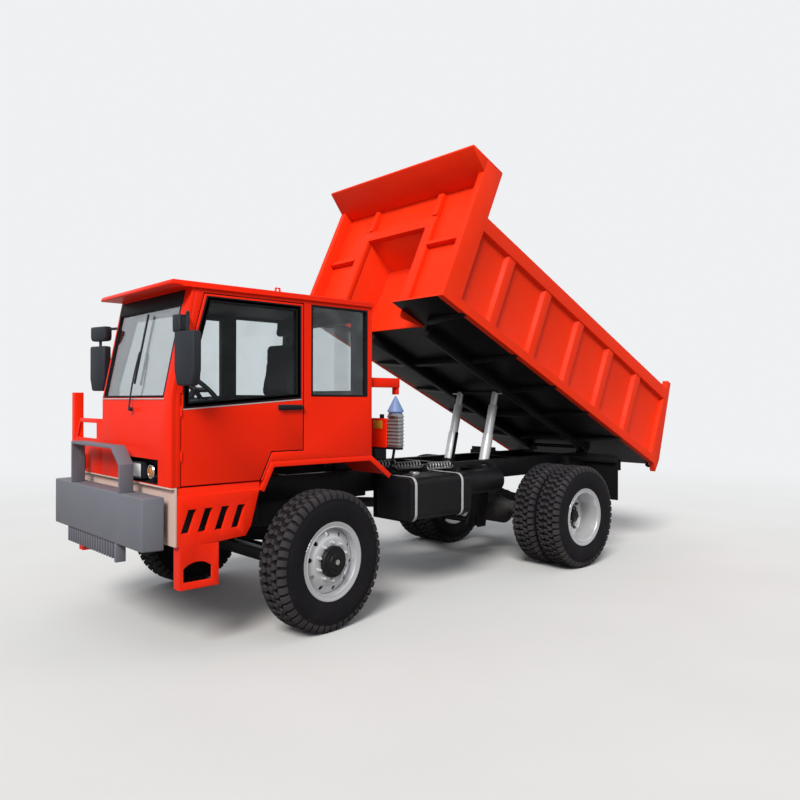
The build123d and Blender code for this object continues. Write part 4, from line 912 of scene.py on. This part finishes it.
@dataclass
class Wheels:
    """The two steered wheels and the two twin rear ones."""

    steer: float = math.radians(7.0)
    kingpin_x: float = 0.024
    kingpin_y: float = 0.84
    stub: float = 0.2
    rear_y: float = 0.925

    def corners(self) -> list:
        """The wheels in their places.

        Returns:
            The left front and rear ones, then the right ones.
        """
        made = []
        for name, sign in (("left", 1), ("right", -1)):
            turned = 0.0 if sign > 0 else math.pi
            x = self.kingpin_x - sign * self.stub * math.sin(self.steer)
            y = sign * (self.kingpin_y + self.stub * math.cos(self.steer))
            front = Matrix.Translation((FRONT_AXLE_X + x, y, AXLE_Z))
            front = front @ Matrix.Rotation(self.steer + turned, 4, "Z")
            made.append(Wheel(name, f"wheel_front_{name}", front, False))
            rear = Matrix.Translation((FRONT_AXLE_X - WHEELBASE, sign * self.rear_y, AXLE_Z))
            made.append(Wheel(name, f"wheels_rear_{name}", rear @ Matrix.Rotation(turned, 4, "Z"), True))
        return made

    def build(self) -> None:
        """Dress all four corners."""
        pattern = Tyre().mesh()
        for wheel in self.corners():
            wheel.tyres(pattern)
            (wheel.rear if wheel.twin else wheel.front)()
            wheel.nuts()
        bpy.data.meshes.remove(pattern)


@dataclass
class Cab:
    """The one-man cab on the left, its glass, seals and fittings."""

    front: float = 1.175
    rear: float = -0.56
    left: float = 0.95
    right: float = -0.26
    sill: float = 1.75
    rake: float = 0.153
    roof: float = 2.5
    middle: tuple = (0.3, 0.35, 1.9)
    inset: float = 0.02
    proud: float = 0.003
    seal_depth: float = 0.056
    door_window: tuple = ((1079, 1686), (1078, 1827), (910, 2442), (153, 2440), (151, 1759))
    door_lap: tuple = ((1089, 1676), (1087, 1828), (918, 2449), (141, 2448), (139, 1747))
    door_strip: tuple = ((1091, 1667), (1091, 1674), (139, 1745), (139, 1738))
    quarter_window: tuple = ((45, 1765), (45, 2465), (-510, 2465), (-510, 1765))
    back_window: tuple = ((-0.06, 1.8), (0.75, 1.8), (0.75, 2.4), (-0.06, 2.4))
    hinge_z: tuple = (1.32, 1.62, 1.78)
    # Each mirror's x, y, turn in degrees, z, half width, half width at its foot and half height.
    mirror_rows: tuple = (
        (1.125, 1.085, 16.0, 2.0055, 0.095, 0.070, 0.1795), (1.145, 1.010, 16.0, 2.236, 0.038, 0.036, 0.060),
        (1.125, -0.440, 14.0, 1.985, 0.095, 0.070, 0.1795), (1.125, -0.425, 14.0, 2.262, 0.098, 0.085, 0.058))

    def raked(self) -> Matrix:
        """The windscreen's plane.

        Returns:
            A frame with X to the left, Y up the glass and Z out.
        """
        up = Vector((-self.rake, 0, self.roof - self.sill)).normalized()
        left = Vector((0, 1, 0))
        matrix = Matrix((left, up, left.cross(up))).transposed().to_4x4()
        return TRUCK @ Matrix.Translation((self.front, 0, self.sill)) @ matrix

    def lined(self, centre: Vector, normal: Vector) -> int:
        """Lining on what faces into the cab."""
        inside = (self.rear + self.inset < centre.x < self.front - self.inset
                  and self.right + self.inset < centre.y < self.left - self.inset
                  and 1.2 < centre.z < self.roof + 0.005)
        return int(inside and normal.dot(Vector(self.middle) - centre) > 0.05)

    def recess(self, centre: Vector, normal: Vector) -> int:
        """Dark recess round the lamps, and lining."""
        lamp = -0.1 < centre.x - self.front < -0.006 and 0.25 < centre.y < 0.756 and 1.15 < centre.z < 1.335
        return int(lamp) or self.lined(centre, normal)

    def door(self, centre: Vector, normal: Vector) -> int:
        """Black handle and lining on the door."""
        return int(centre.y > self.left + 0.001 or normal.y < -0.5)

    def panels(self) -> None:
        """Dress the cab's shell with paint outside and dark lining inside."""
        coat("cab_roof", "cab_roof_panel", RED)
        low = (self.rear + 0.055, self.right + 0.055, 2.470)
        lining = Shape().block(low, (0.985, self.left - 0.055, 2.497), 0, 0.006)
        lining.rod((1.003, 0.03, 2.362), (1.003, 0.64, 2.362), 0.031, 1, 24, 0.004)
        lining.finish("head_lining", "chassis", (TRIM, GREY))
        for name in ("cab_side_left", "cab_side_right", "cab_rear_wall", "cab_floor"):
            coat(name, f"{name}_panel", (RED, TRIM), slot_of=self.lined)
        coat("cab_front", "cab_front_panel", (RED, TRIM), slot_of=self.recess)
        coat("cab_door_left", "door_panel", (RED, TRIM), 0.004, "door_left", self.door)

    def seals(self) -> None:
        """Rubber round every window, with a bright strip below the door's and the windscreen."""
        seal = Shape()
        outer, right_outer = self.left + self.proud, self.right - self.proud
        depth = (0, self.seal_depth, 0)
        seal.prism(side(self.quarter_window, outer), (0, -self.seal_depth, 0), 0, 0.002, 0.013)
        for window in (self.quarter_window, self.door_window):
            seal.prism(side(window, right_outer), depth, 0, 0.002, 0.016)
        back = [(self.rear - self.proud, y, z) for y, z in self.back_window]
        seal.prism(back, (self.seal_depth, 0, 0), 0, 0.002, 0.016)
        seal.at = self.raked()
        top = (2.4 - self.sill) / math.cos(math.atan2(self.rake, self.roof - self.sill))
        screen = [(-0.235, 0.002, 0.002), (0.834, 0.002, 0.002), (0.834, top, 0.002), (-0.235, top, 0.002)]
        seal.prism(screen, (0, 0, -0.034), 0, 0.002, 0.014)
        # A black rubber band over the header up to the roof; its black is partly painted shade, standing in
        # for the shade under the roof's overhang.
        seal.block((-0.247, top - 0.008, -0.003), (0.846, top + 0.092, 0.003))
        seal.block((-0.245, -0.013, -0.002), (0.844, -0.005, 0.003), 1, 0.001)
        seal.finish("window_seals", "chassis", (RUBBER, BRIGHT))
        door = Shape()
        door.prism(side(self.door_lap, outer), (0, -0.006, 0), 0, 0.002, 0.040)
        door.prism(side(self.door_strip, outer - 0.001), (0, -0.004, 0), 1)
        door.prism(side(self.door_window, outer), (0, -self.seal_depth, 0), 0, 0.002, 0.022)
        door.finish("door_window_seal", "door_left", (RUBBER, BRIGHT))

    def wiper(self) -> None:
        """The wiper: a pivot on the cowl, an arm and a blade on the glass."""
        shape = Shape(self.raked())
        shape.rod((0.345, -0.085, -0.004), (0.345, -0.085, 0.022), 0.014, 0, 16)
        arm = ((0.345, -0.085, 0.020), (0.343, 0.02, 0.030), (0.338, 0.20, 0.030), (0.333, 0.335, 0.020))
        shape.hose(arm, 0.006)
        shape.block((0.3265, 0.10, 0.008), (0.3395, 0.62, 0.018))
        shape.block((0.3310, 0.10, 0.003), (0.3350, 0.62, 0.010), 0, 0.001)
        shape.finish("wiper", "chassis", PLASTIC)

    def fittings(self) -> None:
        """Hinge barrels, the door's handle and the roof's gutter."""
        hinges = Shape()
        for z in self.hinge_z:
            hinges.rod((1.102, 0.951, z), (1.102, 0.951, z + 0.07), 0.007, 0, 14, 0.001)
        hinges.finish("door_hinge_barrels", "chassis", RED)
        handle = Shape().block((0.135, 0.951, 1.660), (0.345, 0.955, 1.702))
        handle.block((0.150, 0.957, 1.674), (0.330, 0.975, 1.690), 0, 0.005)
        handle.finish("door_handle_plate", "door_left", PLASTIC)
        gutter = Shape()
        gutter.block((self.rear - 0.004, self.left + 0.006, 2.494), (1.10, self.left + 0.016, 2.506))
        gutter.finish("roof_gutter", "chassis", RED)

    def mirrors(self) -> None:
        """A tall mirror on each side below a small one, hung from a tube."""
        shells, faces = Shape(), Shape()
        for x, y, toe, z, wide, narrow, tall in self.mirror_rows:
            turn = Matrix.Translation((x, y, z)) @ Matrix.Rotation(math.radians(toe), 4, "Z")
            shells.at = faces.at = TRUCK @ turn
            corners = ((-narrow, -tall), (narrow, -tall), (wide, -tall * 0.45), (wide, tall), (-wide, tall),
                       (-wide, -tall * 0.45))
            shells.prism([(-0.034, across, up) for across, up in corners], (0.068, 0, 0), 0, 0.014)
            faces.block((-0.0355, 0.016 - wide, -tall * 0.80), (-0.0345, wide - 0.016, tall - 0.018), 0, 0.0)
        shells.at = TRUCK
        for x, y, root in ((1.125, 1.085, 0.900), (1.125, -0.440, -0.248)):
            shells.rod((x, y, 2.10), (x, y, 2.31), 0.011)
            shells.rod((x, y, 2.30), (1.050, root, 2.30), 0.011)
            shells.ball((x, y, 2.305), 0.0125)
        shells.finish("mirror_shells", "chassis", PLASTIC, ["mirrors"], 45.0)
        faces.finish("mirror_faces", "chassis", MIRROR)

    def inside(self) -> None:
        """Dash, steering wheel and the lever by the seat."""
        dash = Shape().node("dash_and_steering", 0.004)
        dash.block((0.895, 0.30, 1.700), (0.960, 0.60, 1.775), 0, 0.015)
        dash.rod((0.45, 0.06, 1.33), (0.42, 0.08, 1.72), 0.011)
        dash.ball((0.42, 0.08, 1.735), 0.026)
        dash.finish("dash_and_wheel", "chassis", PLASTIC, ["dash_and_steering"], 40.0)

    def build(self) -> None:
        """Dress the cab."""
        for step in (self.panels, self.seals, self.wiper, self.fittings, self.mirrors, self.inside):
            step()
        repaint("cab_glass", WINDOW)
        repaint("door_glass_left", DOOR_PANE)


@dataclass
class Seat:
    """The driver's seat: stuffed cushion, back and headrest on a plain base."""

    voxel: float = 0.009
    pressure: float = 4.0
    swell: float = 0.022
    frames: int = 20
    pads: tuple = (
        ("seat_cushion", ((-45, 1612), (425, 1612), (425, 1705), (385, 1728), (-45, 1722)), 0.215, 0.47, 0.7),
        ("seat_back", ((-48, 1745), (46, 1755), (-10, 2215), (-88, 2205)), 0.225, 0.45, 0.7),
        ("seat_headrest", ((-98, 2262), (-28, 2266), (-44, 2405), (-108, 2400)), 0.315, 0.27, 0.8),
    )

    def stuffed(self, cover: Shape) -> bpy.types.Mesh:
        """Swell a closed shape like a stuffed cover.

        Args:
            cover: the cover before it is stuffed, a little smaller than the pad.

        Returns:
            The pad's mesh.
        """
        mesh = to_mesh(cover.mesh, "pad")
        holder = linked("pad", mesh)
        remesh = holder.modifiers.new("remesh", "REMESH")
        remesh.mode, remesh.voxel_size = "VOXEL", self.voxel
        slack = applied(holder)
        holder.modifiers.clear()
        holder.data = slack
        start = [v.co.copy() for v in slack.vertices]
        cloth = holder.modifiers.new("cloth", "CLOTH")
        cloth.settings.use_pressure, cloth.settings.uniform_pressure_force = True, self.pressure
        cloth.settings.effector_weights.gravity = 0.0
        cloth.point_cache.frame_start, cloth.point_cache.frame_end = 1, self.frames
        for step in range(1, self.frames + 1):
            bpy.context.scene.frame_set(step)
        tight = applied(holder)
        holder.modifiers.clear()
        bpy.context.scene.frame_set(1)
        for vertex, at_rest in zip(tight.vertices, start):
            shift = vertex.co - at_rest
            if shift.length > self.swell:
                vertex.co = at_rest + shift * (self.swell / shift.length)
        holder.data = tight
        smooth = holder.modifiers.new("smooth", "SUBSURF")
        smooth.levels = smooth.render_levels = 1
        made = applied(holder)
        bpy.data.objects.remove(holder)
        for old in (mesh, slack, tight):
            bpy.data.meshes.remove(old)
        return made

    def build(self) -> None:
        """Dress the seat: the pads, and the base with its bellows."""
        for name, outline, right, width, fill in self.pads:
            cover = Shape().prism(side(outline, right), (0, width, 0), 0, 0.028)
            pad = Shape(ORIGIN).take(from_mesh(self.stuffed(cover)))
            piece = pad.finish(name, "chassis", CLOTH, sharp=80.0)
        base = Shape().block((-0.050, 0.245, 1.560), (0.420, 0.655, 1.600), 0, 0.008)
        for index in range(6):
            z = 1.365 + index * 0.034
            inset = 0.0 if index % 2 else 0.016
            low = (0.005 + inset, 0.275 + inset, z)
            base.block(low, (0.355 - inset, 0.625 - inset, z + 0.034), 0, 0.008)
        base.block((-0.010, 0.262, 1.325), (0.372, 0.638, 1.367), 0, 0.006)
        for y in (0.400, 0.500):
            base.rod((-0.060, y, 2.190), (-0.066, y, 2.280), 0.007)
        base.finish("seat_base", "chassis", PLASTIC, ["driver_seat"])


@dataclass
class FrontEnd:
    """Bumper, guard, lamps, skirts, mudguards and the hood on the right."""

    sheets: tuple = (
        ("front_bumper", 0.010, GREY), ("bumper_backing", 0.004, PALE), ("bumper_guard", 0.003, GREY),
        ("front_mudguards", 0.003, RED), ("side_skirt_left", 0.004, RED), ("side_skirt_right", 0.004, RED),
        ("right_hood", 0.004, RED))
    lamp_z: tuple = (1.172, 1.290)
    round_lamp: tuple = (1.110, 0.598, 1.233)
    reflector: tuple = (
        (0.0, 0.0), (0.0, 0.052), (0.046, 0.052), (0.052, 0.048), (0.052, 0.042), (0.040, 0.040),
        (0.020, 0.012), (0.020, 0.0))
    bulb_glass: tuple = ((0.036, 0.0), (0.036, 0.040), (0.046, 0.036), (0.052, 0.022), (0.054, 0.0))
    tail_lamp_y: tuple = (0.565, 0.645, 0.725)
    flutes: int = 11

    def square_lamp(self, shell: Shape, y_low: float, y_high: float, x: float) -> None:
        """Add a square lamp: a dark case, a bright bezel and a fluted lens.

        Args:
            shell: the piece that it belongs to.
            y_low: its right side.
            y_high: its left side.
            x: its front.
        """
        z_low, z_high = self.lamp_z
        shell.block((x - 0.050, y_low, z_low), (x - 0.012, y_high, z_high), 0, 0.004)
        corners = ((y_low, z_low), (y_high, z_low), (y_high, z_high), (y_low, z_high))
        shell.prism([(x - 0.012, y, z) for y, z in corners], (0.012, 0, 0), 0, 0.002, 0.010)
        low = (x - 0.014, y_low + 0.010, z_low + 0.010)
        shell.block(low, (x - 0.004, y_high - 0.010, z_high - 0.010), 2, 0.003)
        step = (y_high - y_low - 0.028) / self.flutes
        for index in range(self.flutes):
            y = y_low + 0.014 + (index + 0.5) * step
            shell.rod((x - 0.006, y, z_low + 0.014), (x - 0.006, y, z_high - 0.014), step * 0.42, 2, 10)

    def build(self) -> None:
        """Dress the sheet metal, the lamps in the recess and on the hood, and the tail lamps."""
        for name, round_by, finish in self.sheets:
            coat(name, f"{name}_sheet", finish, round_by)
        shell = Shape()
        self.square_lamp(shell, 0.268, 0.449, 1.164)
        self.square_lamp(shell, -0.800, -0.620, 1.199)
        shell.lathe(self.reflector, 1, 40, self.round_lamp, (1, 0, 0))
        shell.lathe(self.bulb_glass, 3, 40, self.round_lamp, (1, 0, 0))
        shell.finish("lamp_shells", "chassis", (PLASTIC, PLATED, FROST, AMBER), ["lamps"])
        tail = Shape()
        for sign in (1, -1):
            for slot, start in zip((0, 1, 0), self.tail_lamp_y):
                low, high = sorted((sign * start, sign * (start + 0.070)))
                tail.block((-4.545, low, 0.935), (-4.512, high, 1.015), slot, 0.004)
        tail.finish("tail_lamps", "chassis", (RUBY, AMBER))


@dataclass
class Chassis:
    """Rails, springs, axles, tanks and what stands behind the cab."""

    coats: tuple = (
        ("frame_rails", 0.003, BLACK), ("frame_cross_members", 0.003, BLACK),
        ("bed_hinge_mount", 0.003, BLACK), ("front_axle", 0.008, BLACK), ("rear_axle", 0.006, CAST),
        ("engine_block", 0.015, CAST), ("driveline", 0.010, CAST), ("leaf_springs", 0.003, BLACK),
        ("battery_box", 0.010, BLACK), ("air_tanks", 0.008, BLACK), ("fuel_tank", 0.004, BLACK),
        ("mudflaps", 0.003, RUBBER))
    rail_y: float = 0.42
    bolts: int = 26
    bolt_step: float = 0.205
    tank_corners: tuple = (
        (0.890, 1.000, 0.0), (0.560, 1.000, 90.0), (0.560, 0.750, 180.0), (0.890, 0.750, 270.0))
    strap_radius: float = 0.071
    strap_x: tuple = (-1.055, -1.640)
    coil_starts: tuple = ((-0.96, 0.460, 1.150), (-1.22, 0.520, 1.130), (-1.58, 0.570, 1.110))
    coil_radius: float = 0.034
    coil_turns: int = 8
    turn_steps: int = 12
    coil_step: float = 0.0032
    pipes: tuple = (
        ((-0.50, 0.44, 1.20), (-0.80, 0.44, 1.20), (-1.10, 0.445, 1.095), (-1.90, 0.445, 1.070),
         (-2.30, 0.44, 1.05)),
        ((-0.86, 0.62, 1.33), (-0.86, 0.62, 1.20), (-0.98, 0.60, 1.10), (-1.20, 0.47, 1.085),
         (-1.80, 0.452, 1.040)),
        ((-0.89, 0.86, 1.34), (-0.89, 0.84, 1.22), (-0.96, 0.70, 1.10), (-1.20, 0.58, 1.075),
         (-1.28, 0.56, 1.055)))

    def plain(self) -> None:
        """Dress the pieces that keep their own shape, and the bolt heads along the rails."""
        for name, round_by, finish in self.coats:
            coat(name, f"{name}_coat", finish, round_by, sharp=40.0)
        for name in ("knuckle_left", "knuckle_right", "tie_rod"):
            coat(name, f"{name}_coat", CAST, 0.003, name, sharp=40.0)
        heads = Shape()
        for sign in (1, -1):
            for index in range(self.bolts):
                for z in (0.95, 1.07):
                    foot = (-4.35 + index * self.bolt_step, sign * self.rail_y, z)
                    heads.nut(foot, (0, sign, 0), 0.008)
        heads.finish("rail_bolts", "chassis", BLACK)

    def straps(self) -> None:
        """Bright straps round the fuel tank, and its cap."""
        shape = Shape()
        outline = []
        reach = self.strap_radius
        for y, z, start in self.tank_corners:
            for step in range(5):
                angle = math.radians(start + step * 22.5)
                outline.append((y + reach * math.cos(angle), z + reach * math.sin(angle)))
        for x in self.strap_x:
            shape.prism([(x - 0.013, y, z) for y, z in outline], (0.026, 0, 0), 0, 0.001, 0.004)
            shape.nut((x, 0.945, 1.035), (0, 0.6, 0.8), 0.008, 0, True)
        shape.finish("tank_straps", "chassis", BRIGHT)
        cap = Shape().rod((-1.28, 0.70, 1.055), (-1.28, 0.70, 1.085), 0.045, 0, 32, 0.003)
        cap.finish("tank_cap", "chassis", STEEL)

    def tray(self, centre: Vector, normal: Vector) -> int:
        """Black on the tray below the boxed unit."""
        return int(centre.z < 1.336)

    def cone(self, centre: Vector, normal: Vector) -> int:
        """Blue on the cooler's cone."""
        return int(centre.z > 1.622)

    def equipment(self) -> None:
        """The boxed unit on its tray, the finned cooler with its cone, and the arm above."""
        box = Shape().node("hydraulic_box", 0.006, self.tray)
        box.block((-0.851, 0.625, 1.490), (-0.847, 0.745, 1.560), 2, 0.001)
        for y, z in ((0.450, 1.36), (0.780, 1.36), (0.780, 1.555)):
            box.nut((-0.850, y, z), (1, 0, 0), 0.007, 0, True)
        box.rod((-0.885, 0.70, 1.58), (-0.885, 0.70, 1.615), 0.020, 1, 20, 0.002)
        box.finish("valve_chest", "chassis", (RED, BLACK, YELLOW), ["hydraulic_box"])
        cleaner = Shape().node("air_cleaner", 0.003, self.cone)
        for index in range(9):
            z = 1.352 + index * 0.030
            cleaner.block((-0.917, 0.803, z), (-0.850, 0.953, z + 0.009))
        cleaner.finish("cooler_and_cone", "chassis", (ALLOY, BLUE), ["air_cleaner"], 40.0)
        arm = Shape().block((-0.915, 0.820, 1.845), (-0.560, 0.900, 1.925), 0, 0.006)
        arm.block((-0.915, 0.830, 1.786), (-0.885, 0.890, 1.850), 0, 0.004)
        arm.finish("cab_tilt_arm", "chassis", RED)

    def lines(self) -> None:
        """Coils and pipes between the cab, the tank and the rail."""
        coils = Shape()
        for start, y, z in self.coil_starts:
            route = []
            for step in range(self.coil_turns * self.turn_steps + 1):
                angle = step * math.tau / self.turn_steps
                route.append((start - step * self.coil_step, y + self.coil_radius * math.cos(angle),
                              z + self.coil_radius * math.sin(angle)))
            coils.hose(route, 0.0050)
        coils.finish("brake_coils", "chassis", ALLOY)
        pipes = Shape()
        for route in self.pipes:
            pipes.hose(route, 0.012)
        pipes.finish("hydraulic_pipes", "chassis", RUBBER)

    def build(self) -> None:
        """Dress the chassis."""
        for step in (self.plain, self.straps, self.equipment, self.lines):
            step()


@dataclass
class Bed:
    """The tipping bed, its tailgate and its frame below."""

    wall_u: float = -0.165
    back_u: float = -0.185
    sunk: float = 0.006
    half: float = 1.0
    pocket: tuple = (-0.478, 0.392)
    pocket_top: float = 3.835
    low: float = 2.960
    top: float = 4.232
    flange: float = 0.12
    stiffeners: tuple = (
        (-0.510, -0.455, 3.95, 4.20), (0.440, 0.515, 3.95, 4.20), (-0.998, -0.590, 3.600, 3.640),
        (0.505, 0.998, 3.600, 3.640))
    side_y: float = 1.0185
    ribs: tuple = (-0.745, -1.383, -2.020, -2.660, -3.300)
    rib_half: float = 0.0755
    seams: tuple = (3.031, 3.749)
    bead: float = 0.0035

    def front_wall(self) -> None:
        """The wall round the pocket: a sheet, the folded flange and the stiffeners."""
        left, right = self.pocket
        shape = Shape(BED)
        for front, ends, depth, high, round_by in (
                (self.back_u, (-self.half, self.half), self.wall_u - self.back_u, self.top, 0.002),
                (self.back_u + self.sunk, (left - self.flange, right + self.flange), 0.059,
                 self.pocket_top + self.flange, 0.008)):
            corners = ((ends[0], self.low), (left, self.low), (left, self.pocket_top),
                       (right, self.pocket_top), (right, self.low), (ends[1], self.low), (ends[1], high),
                       (ends[0], high))
            shape.prism([(front, y, w) for y, w in corners], (depth, 0, 0), 0, round_by)
        for y_low, y_high, w_low, w_high in self.stiffeners:
            low = (self.back_u + self.sunk, y_low, w_low)
            shape.block(low, (self.back_u + 0.080, y_high, w_high), 0, 0.008)
        shape.finish("bed_front_sheet", "bed", BED_RED, ["bed_front_wall"])

    def trim(self) -> None:
        """Weld beads where the rails and ribs meet the side sheets, and the gate's latches."""
        welds, latches = Shape(BED), Shape(BED)
        for sign in (1, -1):
            y = sign * self.side_y
            for u in self.ribs:
                for edge in (u - self.rib_half, u + self.rib_half):
                    welds.rod((edge, y, 3.03), (edge, y, 3.75), self.bead, 0, 8)
            for w in self.seams:
                welds.rod((-3.93, y, w), (-0.27, y, w), self.bead, 0, 8)
            low, high = sorted((sign * 0.955, sign * 0.985))
            latches.block((-4.118, low, 2.905), (-4.050, high, 2.938), 0, 0.006)
            latches.rod((-4.100, low - 0.004, 2.922), (-4.100, high + 0.004, 2.922), 0.011, 0, 16)
        welds.finish("bed_weld_beads", "bed", BED_RED)
        latches.finish("gate_latches", "bed", BLACK)

    def under(self, centre: Vector, normal: Vector) -> int:
        """Black on the floor's underside."""
        return int(normal.z < -0.5)

    def build(self) -> None:
        """Dress the bed: red where it shows, black below the floor."""
        coat("bed_floor", "bed_floor_plate", (BED_RED, BLACK), 0.003, "bed", self.under, BED)
        self.front_wall()
        for name in ("bed_side_left", "bed_side_right", "bed_pocket", "bed_canopy"):
            coat(name, f"{name}_sheet", BED_RED, body="bed", at=BED)
        coat("bed_beams", "bed_beams_coat", BLACK, body="bed", at=BED)
        coat("tailgate", "tailgate_sheet", BED_RED, body="tailgate", at=BED)
        self.trim()


@dataclass
class Hoist:
    """Two telescopic cylinders side by side."""

    lean: float = math.radians(14.2)
    side: float = 0.26
    base: tuple = (-0.58578 - FRONT_AXLE_X, 0.0, 0.45)
    collars: tuple = ((0.590, 0.642), (-0.046, 0.010))
    bore: float = 0.0715
    collar: float = 0.080

    def dark(self, centre: Vector, normal: Vector) -> int:
        """Painted shade: black on the shaft between the stages and on the top eye, standing in for the deep
        shade under the bed's floor.
        """
        return int(abs(centre.y) < 0.21 or centre.z > 1.822)

    def build(self) -> None:
        """Dress the barrels and the bright stages."""
        coat("hoist_barrels", "hoist_barrel_coat", BLACK, 0.003, "hoist_barrels")
        for name in ("hoist_stage_one", "hoist_stage_two", "hoist_stage_three"):
            # The stages' black slot is painted shade, where the bed's floor overhangs the tops and the shaft.
            coat(name, f"{name}_tube", (CHROME, BLACK), 0.003, name, self.dark, sharp=40.0)
        rings = Shape()
        up = Vector((-math.sin(self.lean), 0, math.cos(self.lean)))
        for sign in (1, -1):
            middle = Vector(self.base) + Vector((0, sign * self.side, 0))
            for low, high in self.collars:
                profile = ((low, self.bore), (low, self.collar), (high, self.collar), (high, self.bore))
                rings.lathe(profile, 0, 48, middle, up)
        rings.finish("barrel_collars", "hoist_barrels", BLACK)


@dataclass
class Studio:
    """Pale floor, soft light and the camera at the photograph's place."""

    camera_at: tuple = (5.315, 5.556, 1.729)
    right: tuple = (-0.73914, 0.67355, 0.00213)
    up: tuple = (0.00266, -0.00024, 1.0)
    forward: tuple = (-0.67354, -0.73915, 0.00161)
    focal_px: float = 735.0
    picture_px: float = 800.0
    sensor: float = 36.0
    backdrop: tuple = (0.86, 0.875, 0.89, 1.0)
    sun_from: tuple = (0.66, 0.46, 0.68)
    sun_strength: float = 3.4
    sun_degrees: float = 22.0
    sun_colour: tuple = (1.0, 0.985, 0.955)

    def camera(self) -> None:
        """Place the camera."""
        data = bpy.data.cameras.new("camera")
        data.sensor_width = self.sensor
        data.lens = self.focal_px / self.picture_px * self.sensor
        data.clip_end = 300.0
        axes = Matrix((Vector(self.right), Vector(self.up), -Vector(self.forward))).transposed()
        camera = linked("camera", data)
        camera.matrix_world = Matrix.Translation(self.camera_at) @ axes.to_4x4()
        bpy.context.scene.camera = camera

    def sun(self) -> None:
        """Add one broad, soft sun."""
        data = bpy.data.lights.new("soft_sun", "SUN")
        data.energy, data.angle = self.sun_strength, math.radians(self.sun_degrees)
        data.color = self.sun_colour
        turn = Vector(self.sun_from).to_track_quat("Z", "Y").to_matrix().to_4x4()
        linked("soft_sun", data).matrix_world = turn

    def sky(self) -> None:
        """Light from above and all round, and a pale backdrop for what looks past the truck."""
        recipe = Recipe("studio", world=True)
        height = recipe.part_of(recipe.add("ShaderNodeTexCoord", output="Generated"), "Z")
        soft = recipe.add("ShaderNodeBackground", inputs={
            "Color": (0.90, 0.95, 1.0, 1.0), "Strength": height.rise(-0.25, 0.65) * 0.52 + 0.14})
        seen = recipe.add("ShaderNodeBackground", inputs={"Color": self.backdrop, "Strength": 1.0})
        camera, passing, mirrored = (
            recipe.add("ShaderNodeLightPath", output=f"Is {ray} Ray")
            for ray in ("Camera", "Transmission", "Glossy"))
        share = camera.larger(passing).larger(mirrored * 0.5)
        bpy.context.scene.world = recipe.finish(
            recipe.add("ShaderNodeMixShader", inputs={0: share, 1: soft, 2: seen}))

    def floor(self) -> None:
        """A pale floor that runs into the backdrop."""
        recipe = Recipe("studio_floor")
        place = recipe.place()
        seen = recipe.add("ShaderNodeLightPath", output="Is Camera Ray")
        ground = recipe.mix(recipe.noise(place, 0.8, 6.0), (0.60, 0.595, 0.585), (0.67, 0.665, 0.655))
        near = recipe.add("ShaderNodeBsdfPrincipled", inputs={
            "Base Color": recipe.mix(seen, (0.27, 0.26, 0.25), ground), "Roughness": 0.9,
            "Normal": recipe.bump(recipe.noise(place, 45.0, 5.0) * 0.0008)})
        far = recipe.add("ShaderNodeEmission", inputs={"Color": self.backdrop, "Strength": 1.0})
        reach = recipe.add("ShaderNodeVectorMath", {"operation": "LENGTH"}, {0: place}, "Value")
        material = recipe.finish(recipe.add("ShaderNodeMixShader", inputs={
            0: reach.rise(5.5, 15.0) * seen, 1: near, 2: far}))
        part = bmesh.new()
        bmesh.ops.create_grid(part, x_segments=1, y_segments=1, size=150.0)
        mesh = to_mesh(part, "studio_floor")
        mesh.materials.append(material)
        linked("studio_floor", mesh)

    def build(self) -> None:
        """Set the studio up."""
        bpy.context.scene.view_settings.view_transform = "Standard"
        for step in (self.camera, self.sky, self.sun, self.floor):
            step()


def main() -> None:
    """Dress the truck, piece by piece."""
    logging.basicConfig(level=logging.INFO, format="%(name)s %(message)s")
    for group in (Studio(), Wheels(), Cab(), Seat(), FrontEnd(), Chassis(), Bed(), Hoist()):
        group.build()
        LOG.info("%s done", type(group).__name__)


if __name__ == "__main__":
    main()
